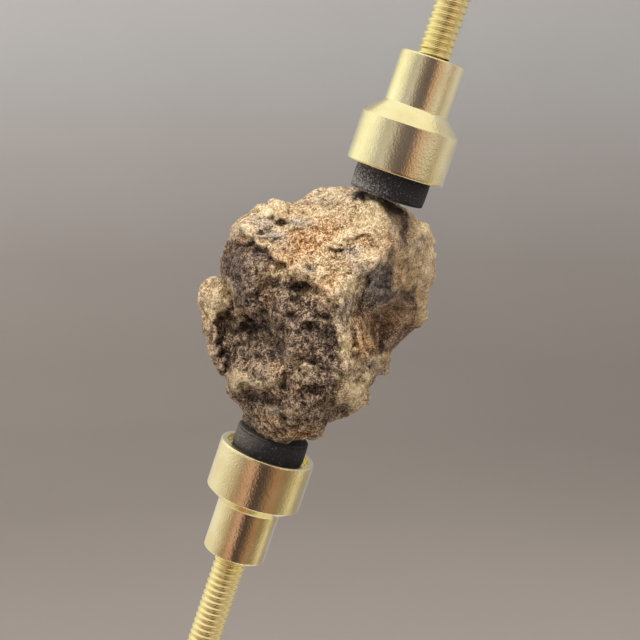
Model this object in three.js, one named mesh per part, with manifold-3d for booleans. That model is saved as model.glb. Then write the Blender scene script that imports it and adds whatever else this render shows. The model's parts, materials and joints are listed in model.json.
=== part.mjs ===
// A meteorite fragment held between two leaning threaded rods, each ending in a brass cup with a
// rubber pad. Millimetres, +Z up. The origin is the middle of the lower rod's free end.
import * as THREE from 'three';
import { ConvexHull } from 'three/addons/math/ConvexHull.js';
import { ImprovedNoise } from 'three/addons/math/ImprovedNoise.js';
import { mergeVertices } from 'three/addons/utils/BufferGeometryUtils.js';
import Module from 'manifold-3d';

const wasm = await Module();
wasm.setup();

// Clearance between neighbouring pieces
const gap = 0.3;

// The two clamps lean together, on parallel axes a little apart
const lean = THREE.MathUtils.degToRad(18.4);
const axisOffset = 3.7;
const rimSpacing = 37.45;

// Threaded rod, size 8-32
const threadMajorRadius = 2.08;
const threadMinorRadius = 1.6;
const threadPitch = 0.794;
const threadSides = 12;
const rodChamfer = 0.45;
const rodExposed = 14;
const rodInSocket = 5.6;

// Stepped brass cup
const cupSides = 32;
const cupRadius = 6.0;
const cupBandHeight = 5.9;
const cupConeHeight = 2.05;
const neckRadius = 3.95;
const neckHeight = 6.15;
const neckChamfer = 0.25;
const rimChamfer = 0.3;
const recessRadius = 5.2;
const recessDepth = 1;
const boreRadius = threadMajorRadius + 0.2;
const cupHeight = neckHeight + cupConeHeight + cupBandHeight;

// Rubber pad, set in the cup's recess and standing out towards the stone
const padSides = 28;
const padRadius = 4.5;
const lowerPadStandout = 2.3;
const upperPadStandout = 3.1;
const padEdge = 0.3;
const padBulge = 0.08;

// Stone: placed from the middle of the lower pad's face, along and across the clamp axis
const stoneUp = 16.1;
const stoneAcross = 0.4;
const stoneBack = 0.18;
const stoneTip = THREE.MathUtils.degToRad(10.6);
const sightDistance = 164;
const seatMargin = 1.4;

// Its surface is found along rays from a heart that lies behind the middle, crowded towards the
// front so that the mesh is as fine there as at the back
const stoneHeart = new THREE.Vector3(0, 5.5, 0);
const stoneMeanRadius = 12;
const stoneDetail = 15;
const frontCrowding = 0.42;

// Natural irregularity: how far facet edges wander, how far they are worn round, and the height
// of the lumps and ledges on top
const wander = 1;
const wanderWavelength = 3.2;
const wear = 0.4;
const wearSamples = 6;
const lumpHeight = 0.75;
const lumpWavelength = 3.8;
const ledgeHeight = 0.8;
const ledgeWavelength = 2.7;
const ledgeLevel = 0.25;

// Surface landmarks of the stone as [right, up, forward] from its middle, as sighted squarely
// from sightDistance in front.
const outline = [
  [-5.2, 13.7, 0.5], [-4.2, 13.8, 0.5], [-3, 13.1, -1.5], [-2, 13.8, -3.5], [-0.5, 14.9, -4],
  [1.6, 15.4, -4.5], [3.6, 15.3, -4.5], [11.2, 12.5, -3], [12.5, 11, -4], [13.6, 9.8, -4.5],
  [14.1, 8.2, -4.5], [14.4, 6.6, -4.5], [14.3, 4.3, -4.5], [13.6, 2, -4.5], [13.3, -0.2, -4.5],
  [12.6, -1.5, -4.5], [11, -1.9, -4.5], [10.4, -3.5, -4], [9.1, -4.9, -4], [8.9, -6.2, -4],
  [7.9, -7.5, -3.5], [6.4, -8.2, -3], [6, -9.5, -1], [5.6, -11, -0.5], [4.2, -12.1, 0.5],
  [2.5, -12.6, 1.5], [1.4, -14, 1], [0, -15.1, 1.5], [-1.9, -15.4, 2], [-4.2, -15.8, 2.4],
  [-5.9, -15.3, 1.8], [-7.6, -14.3, 0], [-8.9, -13.3, -1], [-8.8, -11.8, -0.6],
  [-9.4, -11, 0.2], [-10.7, -9.9, 1], [-10.9, -8.2, 0.5], [-12.4, -7, -2.5], [-13.2, -5.6, -3.5],
  [-14.4, -1.8, -4], [-15.1, 1.3, -4], [-14.8, 3, -4.5], [-13.6, 4.5, -5], [-12.3, 4.7, -5],
  [-11.3, 3.9, 0.5], [-11.9, 6.4, 0.5], [-11.3, 8.8, 0.5], [-10.5, 10.5, 0], [-9.4, 11.4, 0],
  [-7.9, 12, 0], [-6.6, 13, 0],
];
const upperFacet = [
  [2.2, 0.9, 11], [3.8, 1.9, 10.6], [5.3, 3, 10], [5.6, 4.1, 9.7], [7.8, 6, 8.8],
  [9.1, 7.5, 7.8], [9.6, 9.2, 7], [9, 11.3, 6.2], [8.4, 12.8, 5.7], [7.5, 13.6, 5.4],
  [6.3, 13.8, 5], [4.6, 13.6, 4.2], [2.8, 13.3, 3.8], [0.9, 12.7, 3.9], [-1.2, 11.8, 4.3],
  [-3.2, 10.4, 4.7], [-5.2, 9.6, 5], [-7.4, 9.1, 4.4], [-9.4, 9.2, 2.8], [0.8, 2.4, 10.5],
  [-1.3, 4.2, 9.6], [-3.6, 5.4, 8.7], [-5.3, 7.2, 7.2], [1.6, 7, 8.2], [4.4, 8.2, 7.6],
  [5.2, 10.6, 6.4],
];
const frontRidge = [
  [1.9, -0.6, 10.7], [2, -2.3, 10.4], [2.3, -3.6, 10.3], [3.1, -5.2, 10], [3.2, -7.2, 9.5],
  [3.2, -9, 8.6], [2.5, -10.8, 7.2],
];
const frontFace = [
  [-1.7, 2.9, 7.3], [0, 0.4, 8.8], [-1, -1.8, 8.9], [-0.8, -4.4, 9.2], [-0.7, -6.4, 8.6],
  [0.6, -8.6, 8.6], [-2.6, 0.8, 7.8], [-4.4, 2.2, 7.4], [-6.6, 3.6, 6.4], [-8.6, 5.2, 5.2],
  [-10.7, 5.6, 2.6], [-7.2, 6.6, 6], [-10.6, 2.2, 3.4], [-8.2, 1, 5], [-6.1, 0, 6.4],
  [-4.4, -1.4, 7.4], [-3.6, -4, 8], [-11, -0.4, -0.6], [-9.4, -0.4, 0.6], [-7.6, -1.1, 1.6],
  [-6, -1.9, 2.8], [-4.9, -3.6, 4.6], [-11.2, -3, -0.4], [-9.4, -2.8, 1], [-7.8, -3.4, 2.6],
  [-6.3, -3.8, 4.2], [-5.2, -5.2, 5.8], [-10.4, -5.4, 0.6], [-8.6, -5, 2.6],
  [-11, -7.7, 2], [-9.6, -6.6, 4], [-7.8, -5.8, 5.8], [-10, -9.2, 2.9], [-8, -7.4, 5.2],
  [-5.6, -7.2, 7], [-2.8, -7.1, 8.5], [-3.9, -8.9, 7], [-7.9, -10.4, 2.2], [-6, -11, 3.2],
  [-8, -12.4, 1.8], [-5.6, -12.2, 5], [-3, -10.9, 7.4], [0, -10.8, 7.6], [-6.4, -13.8, 3.4],
  [-4.2, -14.3, 4.2], [-1.6, -13.9, 4.9], [0.8, -13.2, 4.6],
];
const leftLobe = [
  [-12.9, 2.2, -1.6], [-12, 0.4, -0.6], [-13, -2, -0.9], [-12.6, -4.6, -0.9], [-11.8, -6.9, -0.4],
];
const rightSide = [
  [4.7, 0.8, 9.1], [4.2, -1.6, 8.9], [4, -3.4, 8.9], [4.4, -4.9, 8.5], [4.2, -7, 7.9],
  [4.2, -9, 6.6], [5.5, -0.8, 3.6], [5.1, -3.4, 2.8], [5.2, -5.8, 2.6], [5.9, 1.2, 4.6],
  [7.2, 4, 4.6], [8.8, 4.6, 3.8], [7, 2.2, 3.2], [8.6, 1.4, 1.4], [7.4, -1.4, 0.4],
  [9.8, 3.6, 3.6], [10, 10.6, 3.4], [10.4, 8, 4.2], [10.6, 5.6, 3.6], [11, 2.2, 0.6],
  [12.6, 8.8, -0.4], [13, 6.2, -0.4], [12.8, 3.4, -1], [12, 0.2, -1.4], [10, -1.4, -0.4],
  [8.6, -3.4, -0.4], [7.4, -5.4, 0.2], [6.8, -6.9, 0], [5, -8.2, 3.4], [5, -10, 3.2],
  [3.3, -11.7, 4],
];
const crown = [
  [-4.9, 13, 2], [-7.9, 11, 2.6], [-4.6, 11.3, 2.6], [-2.2, 12.6, 1.4], [-3, 12.6, 0.2],
  [0.8, 13.2, 0.6], [-0.4, 14.4, -2], [2, 14.8, -2], [4.6, 14.3, 0.2], [7.2, 14.6, 2.6],
  [9, 14.2, 2.4], [10.4, 13.2, 0.4], [8, 14.8, -3], [11.2, 11.4, 0.4],
];
const underside = [
  [-5.4, -15.4, -2.4], [-2.8, -15.6, -1.5], [-7.4, -14.9, -4], [-4, -15.4, -5.5],
];
const back = [
  [-12.6, 1, -8], [-11.5, -5.5, -7.5], [-8.5, -11.5, -6], [-3.5, -14, -7.5], [2, -12.5, -6.5],
  [6.5, -8.5, -8], [10.5, -2.5, -9], [12.8, 4, -9], [11, 9.8, -8.5], [5.5, 12.8, -8.5],
  [0, 13.6, -9], [-5.5, 12, -6], [-9.5, 8.2, -6], [-8.5, 0.5, -10.8], [-7.2, -6.5, -10.5],
  [-1.5, -9.8, -10.8], [4.5, -5, -12], [8.4, 2.4, -12.2], [5.2, 8.2, -12], [-1, 8.8, -12.4],
  [-5.5, 5, -10.6], [-1, -2, -13.4], [2, 3, -13.8],
];

// Local hollows and bumps as [right, up, forward, radius, height]
const dimples = [
  [-1.3, 3, 7.2, 1.3, -1.6], [-4, -8.8, 7, 1.1, -1.2], [-6.2, -1.2, 2, 1.6, -0.7],
  [-4.5, 11.1, 2.6, 0.9, -0.8], [2.7, 7.3, 8, 1, -0.5], [6, 1.8, 5.4, 1.2, -0.6],
  [10.8, 2, 0.8, 1.2, -0.7], [3.2, -11.8, 4, 0.8, -0.7], [12.9, 8.8, -1, 0.9, -0.7],
  [-0.6, -6, 8.8, 1.2, -0.5], [-10.6, 5.6, 2.8, 1.5, 0.4], [-5.6, -13, 4.6, 1.2, 0.4],
  [9, -2.4, -1, 1.2, 0.5], [6.4, -5.6, 1.4, 1, 0.5],
];

const noise = new ImprovedNoise();

function landmark([right, up, forward]) {
  const drawIn = 1 - forward / sightDistance;
  return new THREE.Vector3(right * drawIn, -forward, up * drawIn);
}

// Flat facets between neighbouring landmarks, as triangles about the stone's heart
function facetsBetween(landmarks) {
  const landmarkOf = new Map();
  for (const corner of landmarks) {
    const fromHeart = corner.clone().sub(stoneHeart);
    landmarkOf.set(fromHeart.clone().normalize(), fromHeart);
  }
  const hull = new ConvexHull().setFromPoints([...landmarkOf.keys()]);
  return hull.faces.map((face) => {
    const start = face.edge;
    const corners = [start.head(), start.next.head(), start.prev.head()];
    return corners.map((vertex) => landmarkOf.get(vertex.point));
  });
}

function distanceToFacets(facets, direction) {
  const ray = new THREE.Ray(new THREE.Vector3(), direction);
  const hit = new THREE.Vector3();
  for (const [a, b, c] of facets) {
    if (ray.intersectTriangle(a, b, c, false, hit)) {
      return hit.length();
    }
  }
  return null;
}

// Turn a direction aside a little, so that the edges between facets wander
function wandering(direction) {
  const away = direction.clone().multiplyScalar(stoneMeanRadius);
  const turn = new THREE.Vector3(
    noiseAt(away, wanderWavelength, 1.7),
    noiseAt(away, wanderWavelength, 5.3),
    noiseAt(away, wanderWavelength, 9.1),
  );
  return direction.clone().addScaledVector(turn, wander / stoneMeanRadius).normalize();
}

// Average over a small cone, which wears the facets' edges round
function wornDistance(facets, direction) {
  const side = new THREE.Vector3(direction.y, direction.z, direction.x).cross(direction).normalize();
  const spread = wear / stoneMeanRadius;
  let total = 0;
  let count = 0;
  for (let step = 0; step <= wearSamples; step += 1) {
    const probe = direction.clone();
    if (step > 0) {
      const tilt = side.clone().applyAxisAngle(direction, step * 2 * Math.PI / wearSamples);
      probe.addScaledVector(tilt, spread).normalize();
    }
    const distance = distanceToFacets(facets, probe);
    if (distance !== null) {
      total += distance;
      count += 1;
    }
  }
  return total / count;
}

function noiseAt(point, wavelength, shift) {
  const scaled = point.clone().divideScalar(wavelength);
  return noise.noise(scaled.x + shift, scaled.y + 2 * shift, scaled.z - shift);
}

function relief(point) {
  const lumps = lumpHeight * noiseAt(point, lumpWavelength, 11.3);
  const ledges = ledgeHeight * (ledgeLevel - Math.abs(noiseAt(point, ledgeWavelength, 4.7)));
  let height = lumps + ledges;
  for (const [right, up, forward, radius, rise] of dimples) {
    const away = point.distanceTo(landmark([right, up, forward])) / radius;
    height += rise * Math.exp(-away * away);
  }
  return height;
}

// Keep the surface under a pad back from the pad's face
function seatedDistance(direction, distance, seats) {
  let seated = distance;
  for (const seat of seats) {
    const reach = seat.height / direction.dot(seat.axis);
    const spot = direction.clone().multiplyScalar(seated);
    const across = spot.clone().sub(seat.middle).projectOnPlane(seat.axis).length();
    if (reach > 0 && seated > reach && across < padRadius + seatMargin) {
      seated = reach;
    }
  }
  return seated;
}

function stoneGeometry(seats) {
  const landmarks = [
    ...outline, ...upperFacet, ...frontRidge, ...frontFace, ...leftLobe, ...rightSide,
    ...crown, ...underside, ...back,
  ].map(landmark);
  const facets = facetsBetween(landmarks);
  const geometry = new THREE.IcosahedronGeometry(1, stoneDetail);
  geometry.deleteAttribute('normal');
  geometry.deleteAttribute('uv');
  const merged = mergeVertices(geometry);
  const position = merged.attributes.position;
  const direction = new THREE.Vector3();
  for (let i = 0; i < position.count; i += 1) {
    direction.fromBufferAttribute(position, i).normalize();
    direction.y -= frontCrowding;
    direction.normalize();
    const faceted = wornDistance(facets, wandering(direction));
    const point = direction.clone().multiplyScalar(faceted).add(stoneHeart);
    const distance = seatedDistance(direction, faceted + relief(point), seats);
    point.copy(direction).multiplyScalar(distance).add(stoneHeart);
    position.setXYZ(i, point.x, point.y, point.z);
  }
  merged.computeVertexNormals();
  return merged;
}

function stoneMaterial() {
  return new THREE.MeshStandardMaterial({ color: 0x75644c, roughness: 0.95, metalness: 0 });
}

function brassMaterial() {
  return new THREE.MeshStandardMaterial({ color: 0xc2b067, roughness: 0.3, metalness: 1 });
}

function rodMaterial() {
  return new THREE.MeshStandardMaterial({ color: 0xb8963f, roughness: 0.35, metalness: 1 });
}

function rubberMaterial() {
  return new THREE.MeshStandardMaterial({ color: 0x26241f, roughness: 0.85, metalness: 0 });
}

// Turned shapes run along +Z: from the free end of the rod towards the stone
function turned(profile, sides) {
  const points = profile.map(([radius, height]) => new THREE.Vector2(radius, height));
  return new THREE.LatheGeometry(points, sides).rotateX(Math.PI / 2);
}

function cupGeometry() {
  const shoulder = neckHeight + cupConeHeight;
  return turned([
    [0, rodInSocket + gap],
    [boreRadius, rodInSocket + gap],
    [boreRadius, 0],
    [neckRadius - neckChamfer, 0],
    [neckRadius, neckChamfer],
    [neckRadius, neckHeight],
    [cupRadius, shoulder],
    [cupRadius, cupHeight - rimChamfer],
    [cupRadius - rimChamfer, cupHeight],
    [recessRadius, cupHeight],
    [recessRadius, cupHeight - recessDepth],
    [0, cupHeight - recessDepth],
  ], cupSides);
}

function padGeometry(standout) {
  const foot = gap - recessDepth;
  return turned([
    [0, foot],
    [padRadius, foot],
    [padRadius + padBulge, standout / 2],
    [padRadius, standout - padEdge],
    [padRadius - padEdge, standout],
    [0, standout],
  ], padSides);
}

function asSolid(geometry) {
  const bare = geometry.clone();
  bare.deleteAttribute('normal');
  bare.deleteAttribute('uv');
  const merged = mergeVertices(bare, 1e-4);
  const mesh = new wasm.Mesh({
    numProp: 3,
    vertProperties: new Float32Array(merged.attributes.position.array),
    triVerts: new Uint32Array(merged.index.array),
  });
  return new wasm.Manifold(mesh);
}

function asGeometry(solid) {
  const mesh = solid.getMesh();
  const geometry = new THREE.BufferGeometry();
  geometry.setAttribute('position', new THREE.BufferAttribute(mesh.vertProperties, 3));
  geometry.setIndex(new THREE.BufferAttribute(mesh.triVerts, 1));
  geometry.computeVertexNormals();
  return geometry;
}

// Root and crest helices joined into one screw surface, right-handed, closed by a fan at each end
function screwGeometry(turns) {
  const steps = turns * threadSides;
  const helixRadii = [threadMinorRadius, threadMajorRadius];
  const positions = [];
  for (let step = 0; step <= steps; step += 1) {
    const angle = step * 2 * Math.PI / threadSides;
    helixRadii.forEach((radius, start) => {
      const height = threadPitch * (step / threadSides + start / 2);
      positions.push(radius * Math.cos(angle), radius * Math.sin(angle), height);
    });
  }
  const root = (step) => 2 * step;
  const crest = (step) => 2 * step + 1;
  const bottom = positions.length / 3;
  const top = bottom + 1;
  positions.push(0, 0, -threadPitch, 0, 0, threadPitch * (turns + 1.5));
  const faces = [];
  const quad = (a, b, c, d) => faces.push(a, b, c, a, c, d);
  for (let step = 0; step < steps; step += 1) {
    quad(root(step), root(step + 1), crest(step + 1), crest(step));
  }
  for (let step = 0; step < steps - threadSides; step += 1) {
    const above = step + threadSides;
    quad(crest(step), crest(step + 1), root(above + 1), root(above));
  }
  for (let step = 0; step < threadSides; step += 1) {
    const last = steps - threadSides + step;
    faces.push(bottom, root(step + 1), root(step));
    faces.push(top, crest(last), crest(last + 1));
  }
  faces.push(bottom, root(0), crest(0), bottom, crest(0), root(threadSides));
  const lastTurn = steps - threadSides;
  faces.push(top, root(steps), crest(lastTurn), top, crest(steps), root(steps));
  const geometry = new THREE.BufferGeometry();
  geometry.setAttribute('position', new THREE.Float32BufferAttribute(positions, 3));
  geometry.setIndex(faces);
  return geometry;
}

function rodGeometry() {
  const length = rodExposed + rodInSocket;
  const turns = Math.ceil(length / threadPitch) + 4;
  const screw = screwGeometry(turns).translate(0, 0, -2 * threadPitch);
  const blank = turned([
    [0, 0],
    [threadMajorRadius - rodChamfer, 0],
    [threadMajorRadius + 0.1, rodChamfer + 0.1],
    [threadMajorRadius + 0.1, length - rodChamfer - 0.1],
    [threadMajorRadius - rodChamfer, length],
    [0, length],
  ], threadSides);
  return asGeometry(asSolid(screw).intersect(asSolid(blank)));
}

function piece(name, geometry, material, height) {
  const mesh = new THREE.Mesh(geometry, material);
  mesh.name = name;
  mesh.position.z = height;
  return mesh;
}

const rimHeight = rodExposed + cupHeight;

// One clamp along its own +Z, from the rod's free end to the face of its pad
function clamp(prefix, padStandout) {
  const group = new THREE.Group();
  group.add(piece(`${prefix}_threaded_rod`, rodGeometry(), rodMaterial(), 0));
  group.add(piece(`${prefix}_clamp_cup`, cupGeometry(), brassMaterial(), rodExposed));
  group.add(piece(`${prefix}_pad`, padGeometry(padStandout), rubberMaterial(), rimHeight));
  return group;
}

const specimen = new THREE.Group();

const rig = new THREE.Group();
rig.rotation.y = lean;
specimen.add(rig);

const lowerClamp = clamp('lower', lowerPadStandout);
rig.add(lowerClamp);

const upperClamp = clamp('upper', upperPadStandout);
upperClamp.position.set(axisOffset, 0, 2 * rimHeight + rimSpacing);
upperClamp.rotation.x = Math.PI;
rig.add(upperClamp);

const stoneHeight = rimHeight + lowerPadStandout + stoneUp;
const stoneMiddle = new THREE.Vector3(stoneAcross, stoneBack, stoneHeight);
stoneMiddle.applyAxisAngle(new THREE.Vector3(0, 1, 0), lean);
const stone = new THREE.Mesh(new THREE.BufferGeometry(), stoneMaterial());
stone.name = 'meteorite';
stone.position.copy(stoneMiddle);
stone.rotation.x = -stoneTip;
specimen.add(stone);
specimen.updateMatrixWorld(true);

// Where each pad's face stands, seen from the stone's heart
function seatUnder(holder, padStandout) {
  const heart = stone.localToWorld(stoneHeart.clone());
  const face = holder.localToWorld(new THREE.Vector3(0, 0, rimHeight + padStandout));
  const tail = holder.localToWorld(new THREE.Vector3(0, 0, 0));
  const turn = stone.quaternion.clone().invert();
  const axis = tail.sub(face).normalize();
  const middle = face.sub(heart);
  return {
    axis: axis.clone().applyQuaternion(turn),
    middle: middle.clone().applyQuaternion(turn),
    height: middle.dot(axis) - gap,
  };
}

stone.geometry = stoneGeometry([
  seatUnder(lowerClamp, lowerPadStandout),
  seatUnder(upperClamp, upperPadStandout),
]);

export default specimen;
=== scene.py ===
import json
import math

import bmesh
import bpy
import numpy as np
from mathutils import Matrix, Vector, noise
from mathutils.bvhtree import BVHTree


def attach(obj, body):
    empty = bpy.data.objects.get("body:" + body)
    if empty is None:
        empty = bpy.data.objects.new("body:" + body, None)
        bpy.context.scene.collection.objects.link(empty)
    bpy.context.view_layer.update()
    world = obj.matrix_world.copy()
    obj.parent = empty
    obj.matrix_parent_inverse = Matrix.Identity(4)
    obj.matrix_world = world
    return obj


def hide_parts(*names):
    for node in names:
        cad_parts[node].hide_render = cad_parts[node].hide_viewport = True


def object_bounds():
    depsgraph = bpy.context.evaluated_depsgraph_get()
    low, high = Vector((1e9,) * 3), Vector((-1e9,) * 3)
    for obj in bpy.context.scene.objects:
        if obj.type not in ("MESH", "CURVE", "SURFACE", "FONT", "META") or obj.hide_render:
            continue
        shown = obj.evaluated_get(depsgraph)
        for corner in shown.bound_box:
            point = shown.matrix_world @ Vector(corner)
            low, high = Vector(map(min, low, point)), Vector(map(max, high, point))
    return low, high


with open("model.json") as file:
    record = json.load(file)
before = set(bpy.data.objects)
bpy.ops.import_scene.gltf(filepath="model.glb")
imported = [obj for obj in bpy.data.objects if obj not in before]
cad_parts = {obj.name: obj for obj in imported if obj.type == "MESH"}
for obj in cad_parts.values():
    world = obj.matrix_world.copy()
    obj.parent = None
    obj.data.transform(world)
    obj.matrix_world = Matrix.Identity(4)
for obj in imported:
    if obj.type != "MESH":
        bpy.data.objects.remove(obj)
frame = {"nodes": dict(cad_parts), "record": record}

cadLow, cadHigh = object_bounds()
mm = 0.001
scene = bpy.context.scene


def toLinear(hexColour):
    parts = [int(hexColour[i:i + 2], 16) / 255 for i in (1, 3, 5)]
    return tuple(c / 12.92 if c <= 0.04045 else ((c + 0.055) / 1.055) ** 2.4 for c in parts) + (1.0,)


def perMetre(sizeInMm):  # pattern scale for a feature of this size
    return 1 / (sizeInMm * mm)


def addNode(tree, kind, settings=None, inputs=None):
    node = tree.nodes.new(kind)
    for name, value in (settings or {}).items():
        if name == "stops":  # a ramp's positions and colours
            elements = node.color_ramp.elements
            while len(elements) < len(value):
                elements.new(0.5)
            for element, (position, colour) in zip(elements, value):
                element.position, element.color = position, toLinear(colour)
        else:
            setattr(node, name, value)
    for socket, value in (inputs or {}).items():
        if isinstance(value, bpy.types.Node):  # a node stands for its first live output
            value = next(out for out in value.outputs if out.enabled)
        if isinstance(value, bpy.types.NodeSocket):
            tree.links.new(value, node.inputs[socket])
        else:
            node.inputs[socket].default_value = value
    return node


def startMaterial(name):
    material = bpy.data.materials.new(name)
    material.use_nodes = True
    tree = material.node_tree
    tree.nodes.clear()
    shader = addNode(tree, "ShaderNodeBsdfPrincipled")
    addNode(tree, "ShaderNodeOutputMaterial", inputs={"Surface": shader})
    return material, tree, shader


def ringFaces(rows, sides, first=0):  # between rings of points, and from the first to a point before it
    faces = [(0, 1 + side, 1 + (side + 1) % sides) for side in range(sides)] if first else []
    for row in range(rows - 1):
        for side in range(sides):
            a, b = first + row * sides + side, first + row * sides + (side + 1) % sides
            faces.append((a, a + sides, b + sides, b))
    return faces


def stagePiece(name, vertices, faces, material, place):
    mesh = bpy.data.meshes.new(name)
    mesh.from_pydata(vertices, [], faces)
    mesh.materials.append(material)
    piece = bpy.data.objects.new(name, mesh)
    piece.location = place
    scene.collection.objects.link(piece)
    return piece


def meshPiece(name, vertices, faces, place, material, replaced):
    mesh = bpy.data.meshes.new(name)
    mesh.from_pydata([tuple(v) for v in vertices], [], faces)
    mesh.transform(place)
    mesh.update()
    mesh.shade_smooth()
    return dressPiece(name, mesh, material, replaced)


def dressPiece(name, mesh, material, replaced):
    piece = bpy.data.objects.new(name, mesh)
    scene.collection.objects.link(piece)
    mesh.materials.clear()
    mesh.materials.append(material)
    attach(piece, "root")
    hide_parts(replaced)
    return piece


# Where the two clamps stand

layout = {
    "rodExposed": 14.0,  # rod showing between its free end and the cup
    "cupHeight": 14.1,
    "stoneOnAxis": (0.4, 0.18, 46.5),  # stone's middle in the lower clamp's own axes
    "stoneTip": 10.6,  # degrees the stone's front leans up towards the eye
    "sightDistance": 164.0,
}


def clampPlace(mountName):  # own +Z runs from the rod's free end towards the stone
    mount = next(m for m in frame["record"]["mounts"] if m["name"] == mountName)
    up = -Vector(mount["axis"]).normalized()
    side = Vector((0, 1, 0)).cross(up).normalized()
    across = up.cross(side)
    turn = Matrix((side, across, up)).transposed().to_4x4()
    return Matrix.Translation(mount["pos_m"]) @ turn


clamps = {prefix: clampPlace(f"{prefix}_rod_end") for prefix in ("lower", "upper")}
stonePlace = (Matrix.Translation(clamps["lower"] @ (Vector(layout["stoneOnAxis"]) * mm))
              @ Matrix.Rotation(-math.radians(layout["stoneTip"]), 4, "X"))


# Camera

cameraSettings = {
    "aim": (15.30, 0.0, 43.03),
    "distance": 163.85,
    "elevation": 10.6,  # degrees above the horizon
    "lens": 75.54,
    "sensor": 36.0,
}


def addCamera():
    data = bpy.data.cameras.new("camera")
    data.lens = cameraSettings["lens"]
    data.sensor_width = cameraSettings["sensor"]
    data.clip_start, data.clip_end = 0.005, 20
    camera = bpy.data.objects.new("camera", data)
    scene.collection.objects.link(camera)
    rise = math.radians(cameraSettings["elevation"])
    back = Vector((0, -math.cos(rise), math.sin(rise)))
    camera.location = (Vector(cameraSettings["aim"]) + back * cameraSettings["distance"]) * mm
    camera.rotation_euler = (-back).to_track_quat("-Z", "Y").to_euler()
    scene.camera = camera


# Studio

studio = {
    "floorDrop": 90.0,  # floor this far under the lowest point
    "floorRadius": 700.0,
    "coveRadius": 260.0,
    "wallHeight": 900.0,
    # paper's tone with painted light, by mm along the floor from the middle plus mm up the wall
    "paperToneAndPaintedLight": [(240, "#97918d"), (340, "#97918d"), (470, "#a19b97"), (540, "#a29c98"),
              (657, "#aca7a4"), (759, "#c0bcbd"), (848, "#d3d5d6"), (905, "#e2e3e6"),
              (960, "#8d8883")],
    "paperPaintedFalloff": 0.5,  # painted shade: share of its brightness the paper's colour loses over a metre towards the right
    # boards round the set, seen by the brass alone: degrees round from the camera, right positive
    "boardsAbove": [(-180, "#a6a2a4"), (-150, "#c6c3c0"), (-130, "#f0f0e8"), (-108, "#fffff8"),
                    (-75, "#e6e2de"), (-50, "#aaa8b2"), (-38, "#c6c0c8"), (-16, "#786c72"),
                    (9, "#5e5562"), (19, "#836e71"), (28, "#bc9b8f"), (50, "#c6baba"),
                    (64, "#cbc3c6"), (76, "#a69997"), (108, "#c6c0c3"), (156, "#a19da2"),
                    (180, "#a6a2a4")],
    "boardsBelow": [(-180, "#b4adab"), (-135, "#e0d9d6"), (-100, "#e2dbd8"), (-67, "#bcada2"),
                    (-45, "#8f7367"), (-35, "#bd978f"), (-22, "#ba9591"), (-16, "#554242"),
                    (2, "#473c42"), (32, "#9b7967"), (56, "#816f60"), (84, "#ad9f8c"),
                    (100, "#d6c7b4"), (118, "#9f958a"), (146, "#958f95"), (180, "#b4adab")],
    "boardsUnder": [(-180, "#ddd8d0"), (180, "#ddd8d0")],
    "boardsOver": [(-180, "#f3efe6"), (-60, "#fbf8ee"), (20, "#eee8dc"), (100, "#f4f0e8"),
                   (180, "#f3efe6")],
    "boardGlow": 1.15,
    "lights": [  # name, place from the aim, size, watts, colour
        ("keyOverhead", (-40, -80, 300), (160, 160), 0.62, "#fffaf2"),
        ("softLeft", (-290, -160, 80), (220, 240), 0.5, "#fffcf6"),
        ("softRight", (230, -220, 140), (170, 190), 0.5, "#fffaf2"),
        ("rimRight", (240, 210, 120), (170, 190), 0.35, "#fffaf4"),
        ("rimTop", (-20, 200, 260), (160, 160), 0.25, "#fffaf4"),
    ],
    "worldColour": "#e9e4de",
    "worldStrength": 1.5,
    "exposure": 0.0,
}


def paperMaterial():
    # Seamless backdrop paper: a matt warm grey with a barely seen fibre, with painted light: paler up
    # the wall and darker towards the right
    material, tree, shader = startMaterial("backdropPaperWithPaintedLight")
    place = addNode(tree, "ShaderNodeTexCoord").outputs["Object"]
    flat = addNode(tree, "ShaderNodeVectorMath", {"operation": "MULTIPLY"}, {0: place, 1: (1, 1, 0)})
    out = addNode(tree, "ShaderNodeVectorMath", {"operation": "LENGTH"}, {0: flat})
    parts = addNode(tree, "ShaderNodeSeparateXYZ", None, {0: place})
    run = addNode(tree, "ShaderNodeMath", {"operation": "ADD"},
                  {0: out.outputs["Value"], 1: parts.outputs["Z"]})
    stops = [(along / 1000, colour) for along, colour in studio["paperToneAndPaintedLight"]]
    tone = addNode(tree, "ShaderNodeValToRGB", {"stops": stops}, {"Fac": run})
    fibre = addNode(tree, "ShaderNodeTexNoise",
                    inputs={"Vector": place, "Scale": perMetre(60), "Detail": 3.0})
    # painted shade: the paper's colour darkens towards the right
    paintedFalloff = addNode(tree, "ShaderNodeMath", {"operation": "MULTIPLY_ADD"},
                      {0: parts.outputs["X"], 1: -studio["paperPaintedFalloff"], 2: 0.97})
    share = addNode(tree, "ShaderNodeMath", {"operation": "MULTIPLY_ADD"},
                    {0: fibre, 1: 0.06, 2: paintedFalloff})
    shaded = addNode(tree, "ShaderNodeVectorMath", {"operation": "SCALE"}, {0: tone, "Scale": share})
    tree.links.new(shaded.outputs["Vector"], shader.inputs["Base Color"])
    shader.inputs["Roughness"].default_value = 0.95
    shader.inputs["Specular IOR Level"].default_value = 0.1
    return material


def boardMaterial():
    # Printed boards lit from within: what the polished brass has to reflect
    material = bpy.data.materials.new("reflectedBoards")
    material.use_nodes = True
    tree = material.node_tree
    tree.nodes.clear()
    tone = addNode(tree, "ShaderNodeAttribute", {"attribute_name": "tone"})
    glow = addNode(tree, "ShaderNodeEmission", None, {"Color": tone.outputs["Color"],
                                                      "Strength": studio["boardGlow"]})
    addNode(tree, "ShaderNodeOutputMaterial", inputs={"Surface": glow})
    return material


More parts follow.
